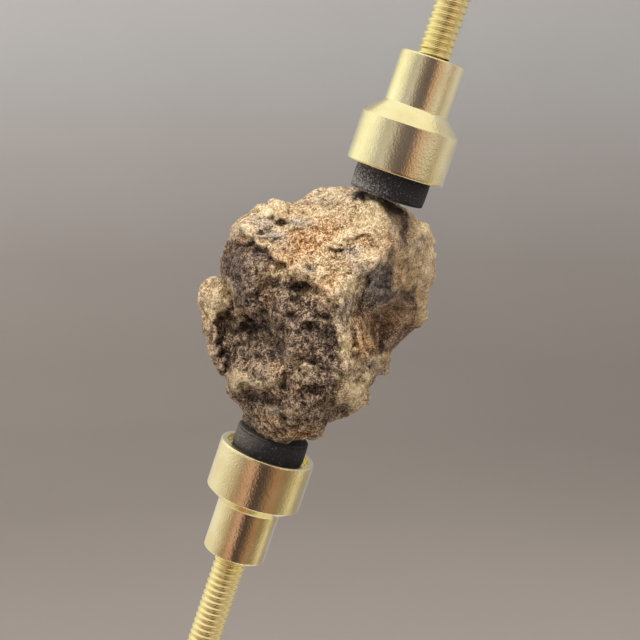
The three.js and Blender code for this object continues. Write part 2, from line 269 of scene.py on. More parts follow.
def addBoards():  # rings of boards: beneath, round the lower clamp, round the upper, overhead
    # radius, height and how far the ring tips down to the right, in mm
    rings = [(2, -66, 0, "boardsUnder"), (62, -62, 0, "boardsUnder"), (66, -60, 0, "boardsBelow"),
             (200, -27, 0, "boardsBelow"), (200, 13, 33, "boardsBelow"),
             (200, 19, 33, "boardsAbove"), (200, 205, 0, "boardsAbove"),
             (195, 240, 0, "boardsOver"), (90, 380, 0, "boardsOver"), (1, 420, 0, "boardsOver")]
    sides = 180
    vertices, tones = [], []
    for radius, height, tip, row in rings:
        spots = [angle for angle, colour in studio[row]]
        colours = np.array([toLinear(colour) for angle, colour in studio[row]])
        for side in range(sides):
            angle = side / sides * 360 - 180
            turn = math.radians(angle)
            vertices.append((radius * mm * math.sin(turn), -radius * mm * math.cos(turn),
                             (height - tip * math.sin(turn)) * mm))
            tones.append([np.interp(angle, spots, colours[:, i]) for i in range(4)])
    boards = stagePiece("reflectedBoards", vertices, ringFaces(len(rings), sides), boardMaterial(),
                        (cameraSettings["aim"][0] * mm, 0, 0))
    layer = boards.data.color_attributes.new("tone", "FLOAT_COLOR", "POINT")
    layer.data.foreach_set("color", np.array(tones, np.float32).ravel())
    boards.visible_camera = boards.visible_diffuse = boards.visible_shadow = False


def addStudio():
    aim = Vector(cameraSettings["aim"]) * mm
    floorZ = cadLow.z - studio["floorDrop"] * mm
    radius, cove = studio["floorRadius"] * mm, studio["coveRadius"] * mm
    profile = [(0.02 * radius, 0.0), (0.5 * radius, 0.0), (radius - cove, 0.0)]
    steps, sides = 12, 96
    for step in range(1, steps + 1):
        angle = step / steps * math.pi / 2
        profile.append((radius - cove + cove * math.sin(angle), cove * (1 - math.cos(angle))))
    profile.append((radius, studio["wallHeight"] * mm))
    vertices = [(0, 0, 0)]
    for r, z in profile:
        for side in range(sides):
            angle = 2 * math.pi * side / sides
            vertices.append((r * math.cos(angle), r * math.sin(angle), z))
    backdrop = stagePiece("backdrop", vertices, ringFaces(len(profile), sides, 1), paperMaterial(),
                          (aim.x, 0, floorZ))
    backdrop.data.shade_smooth()

    for name, place, (width, height), watts, colour in studio["lights"]:
        data = bpy.data.lights.new(name, "AREA")
        data.shape = "RECTANGLE"
        data.size, data.size_y = width * mm, height * mm
        data.energy = watts
        data.color = toLinear(colour)[:3]
        lamp = bpy.data.objects.new(name, data)
        scene.collection.objects.link(lamp)
        lamp.location = aim + Vector(place) * mm
        lamp.rotation_euler = (aim - lamp.location).to_track_quat("-Z", "Y").to_euler()
        lamp.visible_camera = False
        lamp.visible_glossy = False
    addBoards()

    world = bpy.data.worlds.new("studioRoom")
    world.use_nodes = True
    background = world.node_tree.nodes["Background"]
    background.inputs["Color"].default_value = toLinear(studio["worldColour"])
    background.inputs["Strength"].default_value = studio["worldStrength"]
    scene.world = world
    scene.view_settings.view_transform = "Standard"
    scene.view_settings.exposure = studio["exposure"]


# Turned and threaded brass

cup = {
    "neckRadius": 3.95,
    "neckHeight": {"lower": 6.6, "upper": 6.15},
    "shoulderHeight": {"lower": 7.95, "upper": 8.2},
    "bandRadius": 6.0,
    "recessRadius": 5.2,
    "recessDepth": 1.0,
    "boreRadius": 2.28,
    "boreDepth": 5.9,
    "edge": 0.12,  # broken edges
    "rimEdge": 0.3,
    "sides": 144,
    "colour": "#f9f0bd",
    "shade": "#efe2aa",
    "toolRings": 0.16,
    "peel": 0.27,
    "peelHeight": 0.04,
    "roughness": (0.06, 0.14),  # on the peel's low and high spots
}

rod = {
    "length": 19.6,
    "major": 2.05,
    "minor": 1.82,
    "pitch": 0.794,
    "chamfer": 0.45,
    "sides": 64,
    "rowsPerTurn": 12,
    "colour": "#fbf0b2",
    "shade": "#f1e09c",
    "grain": 0.5,
    "roughness": (0.2, 0.34),
}


def turnedFaces(rows, sides):  # rings closed by a point at each end
    last = 1 + (rows - 1) * sides
    return (ringFaces(rows, sides, 1)
            + [(last + side, last + sides, last + (side + 1) % sides) for side in range(sides)])


def roundedProfile(corners, steps=4):  # corners: (radius, height, edge)
    points = []
    for i, (r, z, edge) in enumerate(corners):
        here = Vector((r, z))
        if edge == 0 or i in (0, len(corners) - 1):
            points.append(here)
            continue
        before = Vector(corners[i - 1][:2]) - here
        after = Vector(corners[i + 1][:2]) - here
        start = here + before.normalized() * edge
        end = here + after.normalized() * edge
        points.append(here + before.normalized() * min(edge * 1.5, before.length / 2))
        for step in range(steps + 1):
            t = step / steps
            points.append(start.lerp(here, t).lerp(here.lerp(end, t), t))
        points.append(here + after.normalized() * min(edge * 1.5, after.length / 2))
    return points


def turnedPiece(name, profile, sides, place, material, replaced):
    rings = profile[1:-1]
    vertices = [Vector((0, 0, profile[0].y)) * mm]
    for point in rings:
        for side in range(sides):
            angle = 2 * math.pi * side / sides
            vertices.append(Vector((point.x * math.cos(angle), point.x * math.sin(angle),
                                    point.y)) * mm)
    vertices.append(Vector((0, 0, profile[-1].y)) * mm)
    return meshPiece(name, vertices, turnedFaces(len(rings), sides), place, material,
                     replaced)


def cupBrass(place, name):
    # Turned brass, lightly polished and lacquered: pale greenish-yellow metal whose reflections
    # are broken by fine tool rings and a faint orange peel
    material, tree, shader = startMaterial(name)
    coordinates = addNode(tree, "ShaderNodeTexCoord").outputs["Object"]
    turn = place.to_3x3().inverted().to_euler()
    local = addNode(tree, "ShaderNodeMapping", {"vector_type": "POINT"},
                    {"Vector": coordinates, "Rotation": turn})
    stretched = addNode(tree, "ShaderNodeVectorMath", {"operation": "MULTIPLY"},
                        {0: local, 1: (0.12, 0.12, 1.0)})
    rings = addNode(tree, "ShaderNodeTexNoise",
                    inputs={"Vector": stretched, "Scale": perMetre(cup["toolRings"]), "Detail": 2.0})
    peel = addNode(tree, "ShaderNodeTexNoise",
                   inputs={"Vector": local, "Scale": perMetre(cup["peel"]), "Detail": 3.0})
    tarnish = addNode(tree, "ShaderNodeTexNoise",
                      inputs={"Vector": local, "Scale": perMetre(3.0), "Detail": 5.0})
    tone = addNode(tree, "ShaderNodeValToRGB",
                   {"stops": [(0.35, cup["shade"]), (0.62, cup["colour"])]}, {"Fac": tarnish})
    tree.links.new(tone.outputs["Color"], shader.inputs["Base Color"])
    shader.inputs["Metallic"].default_value = 1.0
    low, high = cup["roughness"]
    rough = addNode(tree, "ShaderNodeMapRange", None, {0: peel, 1: 0.3, 2: 0.7, 3: low, 4: high})
    tree.links.new(rough.outputs[0], shader.inputs["Roughness"])
    fine = addNode(tree, "ShaderNodeBump",
                   inputs={"Height": rings, "Strength": 0.2, "Distance": 0.01 * mm})
    coarse = addNode(tree, "ShaderNodeBump",
                     inputs={"Height": peel, "Strength": 1.0,
                             "Distance": cup["peelHeight"] * mm, "Normal": fine})
    tree.links.new(coarse.outputs["Normal"], shader.inputs["Normal"])
    return material


def rodBrass():
    # Rolled brass screw rod: a deeper yellow, bright on the crests and browner in the roots
    material, tree, shader = startMaterial("rolledThreadBrass")
    coordinates = addNode(tree, "ShaderNodeTexCoord").outputs["Object"]
    grain = addNode(tree, "ShaderNodeTexNoise",
                    inputs={"Vector": coordinates, "Scale": perMetre(rod["grain"]), "Detail": 4.0})
    tone = addNode(tree, "ShaderNodeValToRGB",
                   {"stops": [(0.3, rod["shade"]), (0.7, rod["colour"])]}, {"Fac": grain})
    tree.links.new(tone.outputs["Color"], shader.inputs["Base Color"])
    shader.inputs["Metallic"].default_value = 1.0
    low, high = rod["roughness"]
    rough = addNode(tree, "ShaderNodeMapRange", None, {0: grain, 1: 0.3, 2: 0.7, 3: low, 4: high})
    tree.links.new(rough.outputs[0], shader.inputs["Roughness"])
    return material


def addCup(prefix, place, material):
    neck, shoulder = cup["neckHeight"][prefix], cup["shoulderHeight"][prefix]
    top, edge = layout["cupHeight"], cup["edge"]
    profile = roundedProfile([
        (0, cup["boreDepth"], 0),
        (cup["boreRadius"], cup["boreDepth"], edge),
        (cup["boreRadius"], 0, edge),
        (cup["neckRadius"], 0, 0.25),
        (cup["neckRadius"], neck, edge),
        (cup["bandRadius"], shoulder, edge),
        (cup["bandRadius"], top, cup["rimEdge"]),
        (cup["recessRadius"], top, edge),
        (cup["recessRadius"], top - cup["recessDepth"], edge),
        (0, top - cup["recessDepth"], 0),
    ])
    stand = place @ Matrix.Translation((0, 0, layout["rodExposed"] * mm))
    turnedPiece(f"{prefix}ClampCup", profile, cup["sides"], stand, material,
                f"{prefix}_clamp_cup")


def threadRadius(angle, height):
    phase = (height / rod["pitch"] - angle / (2 * math.pi)) % 1.0
    fromCrest = abs(2 * phase - 1)  # 0 on the crest, 1 in the root
    slope = min(1.0, max(0.0, (fromCrest - 0.16) / 0.66))
    slope = slope * slope * (3 - 2 * slope) * 0.35 + slope * 0.65
    return rod["major"] - (rod["major"] - rod["minor"]) * slope


def addRod(prefix, place, material):
    sides, length = rod["sides"], rod["length"]
    rows = int(length / rod["pitch"] * rod["rowsPerTurn"])
    vertices = [(0, 0, 0)]
    for row in range(rows + 1):
        height = length * row / rows
        fromEnd = min(height, length - height)
        limit = rod["major"] - rod["chamfer"] + fromEnd
        for side in range(sides):
            angle = 2 * math.pi * side / sides
            radius = min(threadRadius(angle, height), limit)
            vertices.append((radius * math.cos(angle) * mm, radius * math.sin(angle) * mm,
                             height * mm))
    vertices.append((0, 0, length * mm))
    meshPiece(f"{prefix}ThreadedRod", vertices, turnedFaces(rows + 1, sides), place, material,
              f"{prefix}_threaded_rod")


# Rubber pads

pad = {
    "radius": 4.5,
    "bulge": 0.08,
    "standout": {"lower": 2.3, "upper": 3.1},
    "foot": -0.7,  # below the cup's rim
    "edge": 0.25,
    "sides": 120,
    # on its left, most of all against the stone: specks caught in the pores, and an even film
    "specks": {"lower": 0.4, "upper": 0.75},
    "film": {"lower": 0.55, "upper": 0.06},
    "pores": 0.2,
    "rubberColour": "#28272b",
    "filmColour": "#8a8276",
    "speckColour": "#c4bfb8",
}


def padRubber():
    # Moulded black rubber: matt, faintly blue-black, with pale stone dust caught in its pores
    material, tree, shader = startMaterial("mouldedBlackRubber")
    coordinates = addNode(tree, "ShaderNodeTexCoord").outputs["Object"]
    dusty = addNode(tree, "ShaderNodeAttribute", {"attribute_name": "specks"}).outputs["Fac"]
    film = addNode(tree, "ShaderNodeAttribute", {"attribute_name": "film"}).outputs["Fac"]
    pores = addNode(tree, "ShaderNodeTexNoise",
                    inputs={"Vector": coordinates, "Scale": perMetre(pad["pores"]), "Detail": 5.0,
                            "Roughness": 0.65})
    caught = addNode(tree, "ShaderNodeMath", {"operation": "MULTIPLY_ADD"},
                     {0: dusty, 1: 0.28, 2: pores})
    cover = addNode(tree, "ShaderNodeMapRange", None, {0: caught, 1: 0.58, 2: 0.95})
    clouded = addNode(tree, "ShaderNodeMix", {"data_type": "RGBA"},
                      {0: film, 6: toLinear(pad["rubberColour"]), 7: toLinear(pad["filmColour"])})
    colour = addNode(tree, "ShaderNodeMix", {"data_type": "RGBA"},
                     {0: cover, 6: clouded.outputs[2], 7: toLinear(pad["speckColour"])})
    tree.links.new(colour.outputs[2], shader.inputs["Base Color"])
    shader.inputs["Roughness"].default_value = 0.7
    shader.inputs["Specular IOR Level"].default_value = 0.3
    bump = addNode(tree, "ShaderNodeBump",
                   inputs={"Height": pores, "Strength": 0.4, "Distance": 0.04 * mm})
    tree.links.new(bump.outputs["Normal"], shader.inputs["Normal"])
    return material


def addPad(prefix, place, material):
    standout, foot, edge = pad["standout"][prefix], pad["foot"], pad["edge"]
    corners = [(0, foot, 0), (pad["radius"] - 0.05, foot, edge / 2)]
    rows = 8
    for row in range(1, rows):
        share = row / rows
        barrel = pad["radius"] + pad["bulge"] * math.sin(math.pi * share)
        corners.append((barrel, foot + (standout - foot) * share, 0))
    corners += [(pad["radius"], standout, edge), (0, standout, 0)]
    stand = place @ Matrix.Translation((0, 0, (layout["rodExposed"] + layout["cupHeight"]) * mm))
    piece = turnedPiece(f"{prefix}Pad", roundedProfile(corners), pad["sides"], stand, material,
                        f"{prefix}_pad")
    points, _, _ = meshArrays(piece.data)
    leftOf = (stand.translation.x - points[:, 0]) / (pad["radius"] * mm)
    local = points - np.array(stand.translation)
    nearStone = local @ np.array(stand.to_3x3().col[2]) / (standout * mm)
    lain = np.clip(0.9 * leftOf + 0.5 * (nearStone - 0.6), 0, 1)
    for name in ("specks", "film"):
        layer = piece.data.attributes.new(name, "FLOAT", "POINT")
        layer.data.foreach_set("value", (pad[name][prefix] * lain).astype(np.float32))


# The stone

stone = {
    "voxel": 0.2,
    "settle": 6,  # smoothing passes on the coarse solid before it is carved
    # Relief on the side towards the eye. All places are [right, up] from the stone's middle.
    # hollows and lumps: right, up, half width, half height, rise
    "hollows": [
        # the large forms: brow, concave cheek, central column, chin and the right side's recess
        (-9.0, 5.4, 3.0, 2.6, 0.9), (-9.2, -2.9, 3.3, 2.9, -1.6), (-1.2, -2.6, 3.0, 5.2, 0.7),
        (-7.2, -8.5, 3.0, 1.5, 1.0), (-4.8, -13.0, 3.2, 1.6, 0.5), (7.6, -1.6, 2.8, 2.4, -1.3),
        (7.4, 3.4, 1.9, 2.0, -0.6), (4.6, -10.9, 1.4, 1.7, 1.3), (4.2, -6.0, 0.7, 0.8, 0.4),
        (2.7, -4.6, 0.6, 1.2, 0.3), (12.4, 4.0, 1.5, 3.2, 0.8), (11.8, 9.6, 1.6, 2.4, 0.6),
        (10.4, 9.3, 0.6, 2.2, -0.3), (-12.9, 2.2, 1.5, 1.7, 0.6),
        # pits
        (5.8, 14.3, 1.6, 0.5, -0.8), (9.2, 12.6, 0.9, 0.9, -0.6), (-8.9, -2.2, 2.8, 0.5, -0.5),
        (-4.6, -3.8, 0.6, 1.5, -0.2), (-1.8, 2.8, 1.4, 0.6, -0.4), (-3.7, 3.3, 1.1, 0.4, -0.3),
        (-7.0, -1.3, 1.5, 0.8, -1.1), (-10.2, -1.7, 1.6, 0.6, -0.3), (-4.6, 10.9, 0.5, 0.5, -0.7),
        (-5.5, 11.3, 0.5, 0.4, -0.6), (-6.9, 9.6, 0.6, 0.4, -0.8), (-5.8, 10.0, 0.5, 0.35, -0.6),
        (-9.1, 9.2, 0.35, 0.3, -0.3), (-10.9, 5.2, 0.9, 1.5, -0.4), (-7.4, 7.1, 0.9, 0.5, -0.7),
        (-8.1, -10.4, 1.2, 0.7, -0.7), (-6.5, -10.6, 1.0, 0.5, -0.6), (-5.2, -11.0, 0.9, 0.4, -0.6),
        (-4.0, -9.3, 0.7, 0.7, -0.7), (-0.7, -6.1, 0.6, 0.7, -0.5), (-0.9, -9.4, 1.1, 0.4, -0.5),
        (-2.0, -10.4, 0.6, 0.5, -0.6), (-1.0, -1.7, 1.0, 0.35, -0.8), (0.8, -2.8, 1.1, 0.9, -0.9),
        (-3.0, -0.6, 0.8, 0.8, -0.8), (-2.6, 1.4, 0.8, 0.6, -0.6), (-0.7, 5.3, 0.4, 0.35, -0.45),
        (5.3, 0.7, 0.5, 1.3, -0.7), (11.1, 1.6, 0.7, 0.8, -0.8), (12.9, 8.8, 0.6, 0.4, -0.8),
        (3.3, -11.9, 0.6, 0.35, -0.8), (4.9, -8.5, 0.7, 0.5, -0.7), (9.4, 0.1, 1.4, 0.6, -0.6),
        (1.6, -12.0, 1.6, 0.6, -0.8), (-10.6, -5.2, 1.0, 0.7, -0.8), (-2.5, -7.2, 0.25, 0.5, -0.8),
        (1.3, 13.0, 0.6, 0.2, -0.35), (-3.5, 12.8, 0.5, 0.5, -0.5), (-13.9, 0.9, 0.4, 0.5, -0.4),
        (4.4, -3.7, 0.4, 0.7, -0.8), (7.4, -4.3, 0.4, 1.2, -0.9), (13.2, 1.3, 0.3, 0.7, -0.6),
        (-8.4, -12.9, 0.6, 1.3, -0.5), (-4.2, -4.6, 0.5, 0.8, -0.6), (11.0, 5.9, 0.5, 0.5, -0.7),
        # lumps
        (-7.9, 1.8, 0.6, 0.7, 0.5), (-8.0, -2.9, 1.3, 0.6, 0.4), (-5.0, -4.5, 0.6, 0.6, 0.4),
        (-9.8, -9.0, 0.8, 0.6, 0.4), (-4.7, 13.3, 0.9, 0.6, 0.4), (-8.7, 10.2, 1.0, 0.8, 0.7),
        (-9.3, -8.4, 0.9, 0.8, 0.5), (-5.0, -7.2, 1.0, 0.6, 0.4), (3.4, 9.4, 0.9, 0.5, 0.25),
        (4.6, 3.2, 0.7, 0.8, 0.35), (12.9, 10.3, 0.6, 0.7, 0.7), (13.8, 7.1, 0.5, 0.9, 0.6),
        (13.6, 4.9, 0.6, 0.7, 0.6), (7.2, -5.9, 0.5, 0.4, 0.7), (7.8, -6.9, 0.6, 0.5, 0.6),
        (4.4, -6.4, 0.3, 0.4, 0.5), (-3.2, -11.0, 0.8, 0.5, 0.5), (-1.7, -7.0, 0.7, 0.5, 0.6),
        (-9.4, 0.0, 1.1, 0.5, 0.9), (0.8, 14.8, 1.6, 0.5, 0.4), (7.0, 13.3, 1.4, 0.7, 1.0),
        (-6.2, 5.4, 0.9, 0.7, 0.5), (-0.4, 1.7, 1.2, 0.4, 0.6), (-4.6, 4.5, 0.9, 0.3, 0.4),
        (-5.6, -12.0, 0.8, 0.5, 0.4), (5.9, -8.4, 0.3, 0.6, 0.5), (12.7, 0.2, 0.5, 1.0, 0.6),
        (-8.6, 2.6, 0.9, 1.2, 0.5), (-6.9, -5.0, 1.6, 0.6, 0.5), (1.2, -8.0, 1.4, 0.5, 0.5),
        (0.9, -5.2, 1.0, 0.8, 0.5),
    ],
    # edges where the surface steps: points, rise on the left of their run, drop on its right,
    # softness of the step, and how far it reaches
    "edges": [
        # ridge under the worn top
        ([(2.3, 0.2), (1.4, 1.3), (-0.2, 2.7), (-2.2, 3.5)], -0.35, 0.2, 0.2, 1.4),
        ([(-2.2, 3.5), (-3.4, 4.6), (-4.3, 5.9)], -0.4, 0.2, 0.14, 0.9),
        ([(-4.3, 5.9), (-5.6, 7.0), (-6.6, 7.8), (-7.6, 8.1), (-8.6, 8.5), (-9.6, 8.4),
          (-11.2, 8.6)], -1.0, 0.3, 0.14, 1.3),
        # foot of the brow
        ([(-11.9, 4.9), (-11.1, 3.7), (-10.4, 2.4), (-9.7, 1.3), (-9.0, 0.5), (-8.2, 0.1),
          (-7.6, -0.5)], 1.1, -1.4, 0.16, 1.5),
        ([(-10.4, 1.5), (-11.2, 0.3), (-12.1, -0.5), (-12.8, -1.1)], -0.8, 0.4, 0.2, 1.0),
        # valley between the brow and the column
        ([(-7.7, 2.6), (-7.2, 0.8), (-6.5, -0.8)], -0.4, -0.4, 0.25, 0.8),
        ([(-5.9, -0.8), (-5.2, -1.9), (-4.5, -3.4), (-4.0, -5.0)], 0.8, -0.9, 0.18, 1.4),
        # lit step over the chin
        ([(-11.2, -8.4), (-10.4, -7.0), (-9.6, -6.4), (-8.8, -6.2), (-7.9, -6.0), (-6.8, -6.0)],
         -1.1, 0.6, 0.16, 1.4),
        # undercut beneath the chin
        ([(-9.8, -9.4), (-8.2, -9.2), (-6.6, -9.7), (-5.0, -10.4), (-4.0, -10.4)],
         0.6, -0.7, 0.14, 1.0),
        # folds of the bottom
        ([(-9.4, -11.0), (-7.7, -11.6), (-7.0, -12.5), (-5.8, -13.5), (-4.0, -14.3)],
         0.5, -0.5, 0.16, 0.8),
        ([(-7.2, -14.0), (-5.6, -14.9), (-3.6, -15.0), (-1.6, -14.5), (0.4, -14.2)],
         0.3, -0.5, 0.15, 0.6),
        ([(-1.6, -12.0), (-0.4, -11.3), (1.0, -10.9), (2.4, -10.9), (3.2, -11.3)],
         0.4, -0.8, 0.13, 1.0),
        ([(-1.0, -13.6), (0.8, -13.2), (2.4, -12.4), (4.0, -11.8)], 0.3, -0.5, 0.12, 0.6),
        # cracks and ledges in the worn top
        ([(1.4, 7.7), (2.1, 7.4), (3.0, 7.5), (3.6, 7.9)], 0.4, -0.7, 0.1, 0.6),
        ([(4.0, 8.9), (4.7, 9.1), (5.4, 9.4), (6.1, 9.2), (6.7, 8.8), (7.1, 8.2)],
         0.4, -0.6, 0.1, 0.7),
        ([(4.2, 3.6), (5.0, 4.0), (5.8, 4.3), (6.6, 4.9), (7.3, 5.6)], 0.4, -0.6, 0.1, 0.9),
        ([(-3.4, 11.6), (-1.0, 12.1), (0.4, 12.0), (2.2, 12.6), (4.0, 13.2), (5.6, 13.8)],
         -0.5, 0.2, 0.2, 1.1),
        ([(-9.0, 9.3), (-7.6, 9.0), (-6.0, 8.8), (-4.6, 9.2), (-3.2, 10.0), (-2.0, 10.1)],
         0.5, -0.4, 0.12, 0.8),
        # crest that the worn top ends in on the right
        ([(9.6, 5.7), (9.8, 7.5), (9.9, 9.6), (9.3, 11.0), (8.6, 12.2), (7.9, 13.2), (6.8, 13.8)],
         0.6, -0.8, 0.2, 1.1),
        # right of the column: its edge, the pocket's rims and the small folds beyond
        ([(6.4, 4.4), (6.0, 3.0), (5.5, 1.9), (5.1, 0.6), (4.7, -0.8), (4.6, -2.6), (4.6, -4.4),
          (4.8, -5.8)], 0.5, -1.3, 0.16, 1.2),
        ([(9.7, 5.4), (9.7, 3.8), (9.4, 2.2), (8.6, 1.5), (6.8, 2.0)], -0.6, 0.6, 0.16, 1.0),
        ([(10.6, 4.6), (10.9, 3.0), (11.7, 1.8)], -0.6, 0.4, 0.15, 0.7),
        ([(6.4, -0.6), (7.4, -0.2), (8.2, 0.6), (9.6, 1.2)], 0.4, -0.4, 0.15, 0.8),
        ([(4.7, -5.4), (5.9, -5.0), (6.9, -5.6), (8.4, -5.2)], -0.3, 0.5, 0.15, 0.8),
        # ridge down the column, and small breaks in its face
        ([(2.6, 1.2), (2.1, -0.8), (2.2, -2.4), (2.5, -4.4), (3.2, -5.7), (3.3, -7.4), (3.0, -9.4),
          (2.2, -11.0)], 0.3, -0.5, 0.2, 1.0),
        ([(-1.9, -1.5), (-1.1, -1.2), (-0.2, -1.4), (0.3, -2.2)], 0.5, -0.6, 0.1, 0.7),
        ([(-4.4, 1.9), (-3.2, 2.2), (-1.9, 1.9), (-0.4, 2.1), (0.8, 1.3)], -0.5, 0.4, 0.12, 0.7),
        ([(-3.6, -7.9), (-2.8, -6.9), (-1.6, -6.3), (-0.4, -6.8)], -0.4, 0.5, 0.12, 0.8),
        ([(-2.6, -9.9), (-1.4, -8.9), (0.2, -8.8), (1.8, -8.6)], 0.5, -0.5, 0.12, 0.8),
        ([(-12.2, -1.0), (-12.0, -3.0), (-11.8, -5.4), (-11.2, -7.4)],
         -1.0, 0.4, 0.2, 1.4),
    ],
    # silhouette towards the eye
    "outline": [
        (-4, 13.6), (-3.1, 13.2), (-2, 13.8), (-0.5, 14.8), (1.4, 15.4), (3.7, 15.2), (8, 14.2),
        (11.2, 12.5), (12.3, 11.1), (13.5, 10.1), (14, 8.5), (14.3, 6.9), (14.3, 4.5),
        (13.6, 2.2), (13.3, -0.2), (12.8, -1.4), (11.8, -1.9), (10.4, -3.5), (9.1, -4.6),
        (8.8, -6.2), (8, -7.3), (6.8, -8.3), (6.1, -9.4), (5.8, -10.6), (4.8, -11.7),
        (3.2, -12.6), (1.3, -14), (0, -15.1), (-1.9, -15.4), (-4.2, -15.7), (-5.9, -15.3),
        (-7.5, -14.4), (-8.9, -13.4), (-9.1, -11.8), (-9.5, -11.1), (-10.3, -10.1), (-11, -8.9),
        (-11.2, -7.9), (-12.4, -6.9), (-13.1, -6), (-13.3, -4.8), (-14, -1.8), (-14.6, 1.3),
        (-14.3, 2.7), (-13.3, 4.1), (-12.6, 4.4), (-11.8, 4.3), (-11.8, 6.9), (-11.2, 8.7),
        (-10.5, 10.4), (-9.6, 11.3), (-8, 11.9), (-6.8, 12.9), (-5.2, 13.6),
    ],
    # broken planes, size in mm, slope, and share of it on the side towards the eye
    "facets": [(4.2, 0.3, 0.2), (1.9, 0.32, 0.9), (0.9, 0.36, 1.0)],
    # granular roughness: size and height in mm
    "grit": [(2.2, 0.196), (1.1, 0.14), (0.5, 0.168)],
    # drawn-out lines: corners of the area, lean of the lines in degrees, spacing, height
    "streaks": [
        ([(7.6, 13.4), (8.8, 10.0), (9.2, 7.8), (8.2, 6.2), (9.8, 5.4), (11.6, 6.0), (11.8, 9.0),
          (11.2, 13.2)], -8, 0.75, 0.2),
        ([(2.5, 1.3), (2.1, -1.0), (2.2, -4.0), (3.2, -6.6), (4.3, -6.4), (4.0, -3.0), (4.6, 0.2),
          (5.2, 2.2), (4.2, 2.2)], 6, 0.6, 0.2),
    ],
    "wander": 0.24,  # mm that the carved edges stray
}


def sighted(points):  # local mm to [right, up] as seen by the eye
    spread = 1 / (1 + points[:, 1] / layout["sightDistance"])
    return points[:, 0] * spread, points[:, 2] * spread


def meshArrays(mesh):
    points = np.empty(len(mesh.vertices) * 3)
    mesh.vertices.foreach_get("co", points)
    normals = np.empty(len(mesh.vertices) * 3)
    mesh.vertex_normals.foreach_get("vector", normals)
    edges = np.empty(len(mesh.edges) * 2, dtype=np.int64)
    mesh.edges.foreach_get("vertices", edges)
    return points.reshape(-1, 3), normals.reshape(-1, 3), edges.reshape(-1, 2)


def setPoints(mesh, points):
    mesh.vertices.foreach_set("co", points.astype(np.float32).ravel())
    mesh.update()


def neighbourMean(values, edges, passes, strength=1.0):
    values = np.asarray(values, float)
    flat = values.reshape(len(values), -1)
    count = np.bincount(edges.ravel(), minlength=len(flat))[:, None]
    for _ in range(passes):
        total = np.zeros_like(flat)
        for here, there in ((edges[:, 0], edges[:, 1]), (edges[:, 1], edges[:, 0])):
            for axis in range(flat.shape[1]):
                total[:, axis] += np.bincount(here, flat[there, axis], minlength=len(flat))
        flat = flat + strength * (total / count - flat)
    return flat.reshape(values.shape)


def perlin(points, wavelength, shift):
    spots = points / wavelength + shift
    return np.array([noise.noise(Vector(spot)) for spot in spots])


def nearestOnRun(right, up, run):  # signed distance to a run of points, and overshoot at its ends
    best = np.full(len(right), 1e9)
    signed = np.zeros(len(right))
    over = np.zeros(len(right))
    for i in range(len(run) - 1):
        ax, ay = run[i]
        dx, dy = run[i + 1][0] - ax, run[i + 1][1] - ay
        length = math.hypot(dx, dy)
        dx, dy = dx / length, dy / length
        along = (right - ax) * dx + (up - ay) * dy
        inside = np.clip(along, 0, length)
        away = np.hypot(right - ax - inside * dx, up - ay - inside * dy)
        side = np.sign(dx * (up - ay) - dy * (right - ax))
        past = np.zeros(len(right))
        if i == 0:
            past = np.maximum(past, -along)
        if i == len(run) - 2:
            past = np.maximum(past, along - length)
        nearer = away < best
        best[nearer] = away[nearer]
        signed[nearer] = (away * side)[nearer]
        over[nearer] = past[nearer]
    return signed, over


def strayed(points, amount):  # the view's right and up, bent a little so that no edge runs clean
    right, up = sighted(points)
    for size, share in ((2.6, 1.12), (0.9, 1.6)):
        right = right + amount * share * perlin(points, size, 21.0)
        up = up + amount * share * perlin(points, size, 33.0)
    return right, up


def frontRelief(points):
    right, up = strayed(points, stone["wander"])
    height = np.zeros(len(right))
    for x, y, halfWidth, halfHeight, rise in stone["hollows"]:
        away = ((right - x) / halfWidth) ** 2 + ((up - y) / halfHeight) ** 2
        height += rise * np.exp(-away ** 1.25)
    for run, left, other, softness, reach in stone["edges"]:
        signed, over = nearestOnRun(right, up, run)
        share = 0.5 + 0.5 * np.tanh(signed / softness)
        fade = np.exp(-np.abs(signed) / reach) * np.exp(-(over / 0.5) ** 2)
        height += fade * (left * share + other * (1 - share))
    for corners, lean, spacing, rise in stone["streaks"]:
        inside = np.clip(0.5 + insideShape(right, up, corners) / 0.8, 0, 1)
        turn = math.radians(lean)
        across = right * math.cos(turn) + up * math.sin(turn)
        along = up * math.cos(turn) - right * math.sin(turn)
        flat = np.stack((across / spacing, along / spacing / 5, np.zeros(len(across))), 1)
        height += rise * inside * 2 * perlin(flat, 1.0, 4.0)
    return height


def insideShape(right, up, corners):  # distance in from the border of a closed run, negative outside
    signed, _ = nearestOnRun(right, up, corners + corners[:1])
    inside = np.zeros(len(right), bool)
    for (ax, ay), (bx, by) in zip(corners, corners[1:] + corners[:1]):
        crosses = (ay > up) != (by > up)
        at = ax + (up - ay) * (bx - ax) / ((by - ay) or 1e-9)
        inside ^= crosses & (right < at)
    return np.where(inside, np.abs(signed), -np.abs(signed))


def seenFromEye(mesh, points, edges):
    tree = BVHTree.FromPolygons([Vector(p) for p in points],
                                [tuple(f.vertices) for f in mesh.polygons])
    eye = Vector((0, -layout["sightDistance"], 0))
    seen = np.zeros(len(points))
    for i, spot in enumerate(points):
        ray = Vector(spot) - eye
        hit = tree.ray_cast(eye, ray.normalized(), ray.length - 0.05)
        seen[i] = 0.0 if hit[0] is not None and (hit[0] - eye).length < ray.length - 0.1 else 1.0
    return neighbourMean(seen, edges, 3)


def coarseStone():
    source = frame["nodes"]["meteorite"].data.copy()
    source.transform(Matrix.Diagonal((1 / mm,) * 3).to_4x4() @ stonePlace.inverted())
    build = bmesh.new()
    build.from_mesh(source)
    bmesh.ops.remove_doubles(build, verts=build.verts, dist=1e-3)
    build.to_mesh(source)
    build.free()
    return modified(source, [("SUBSURF", {"levels": 2, "render_levels": 2})])


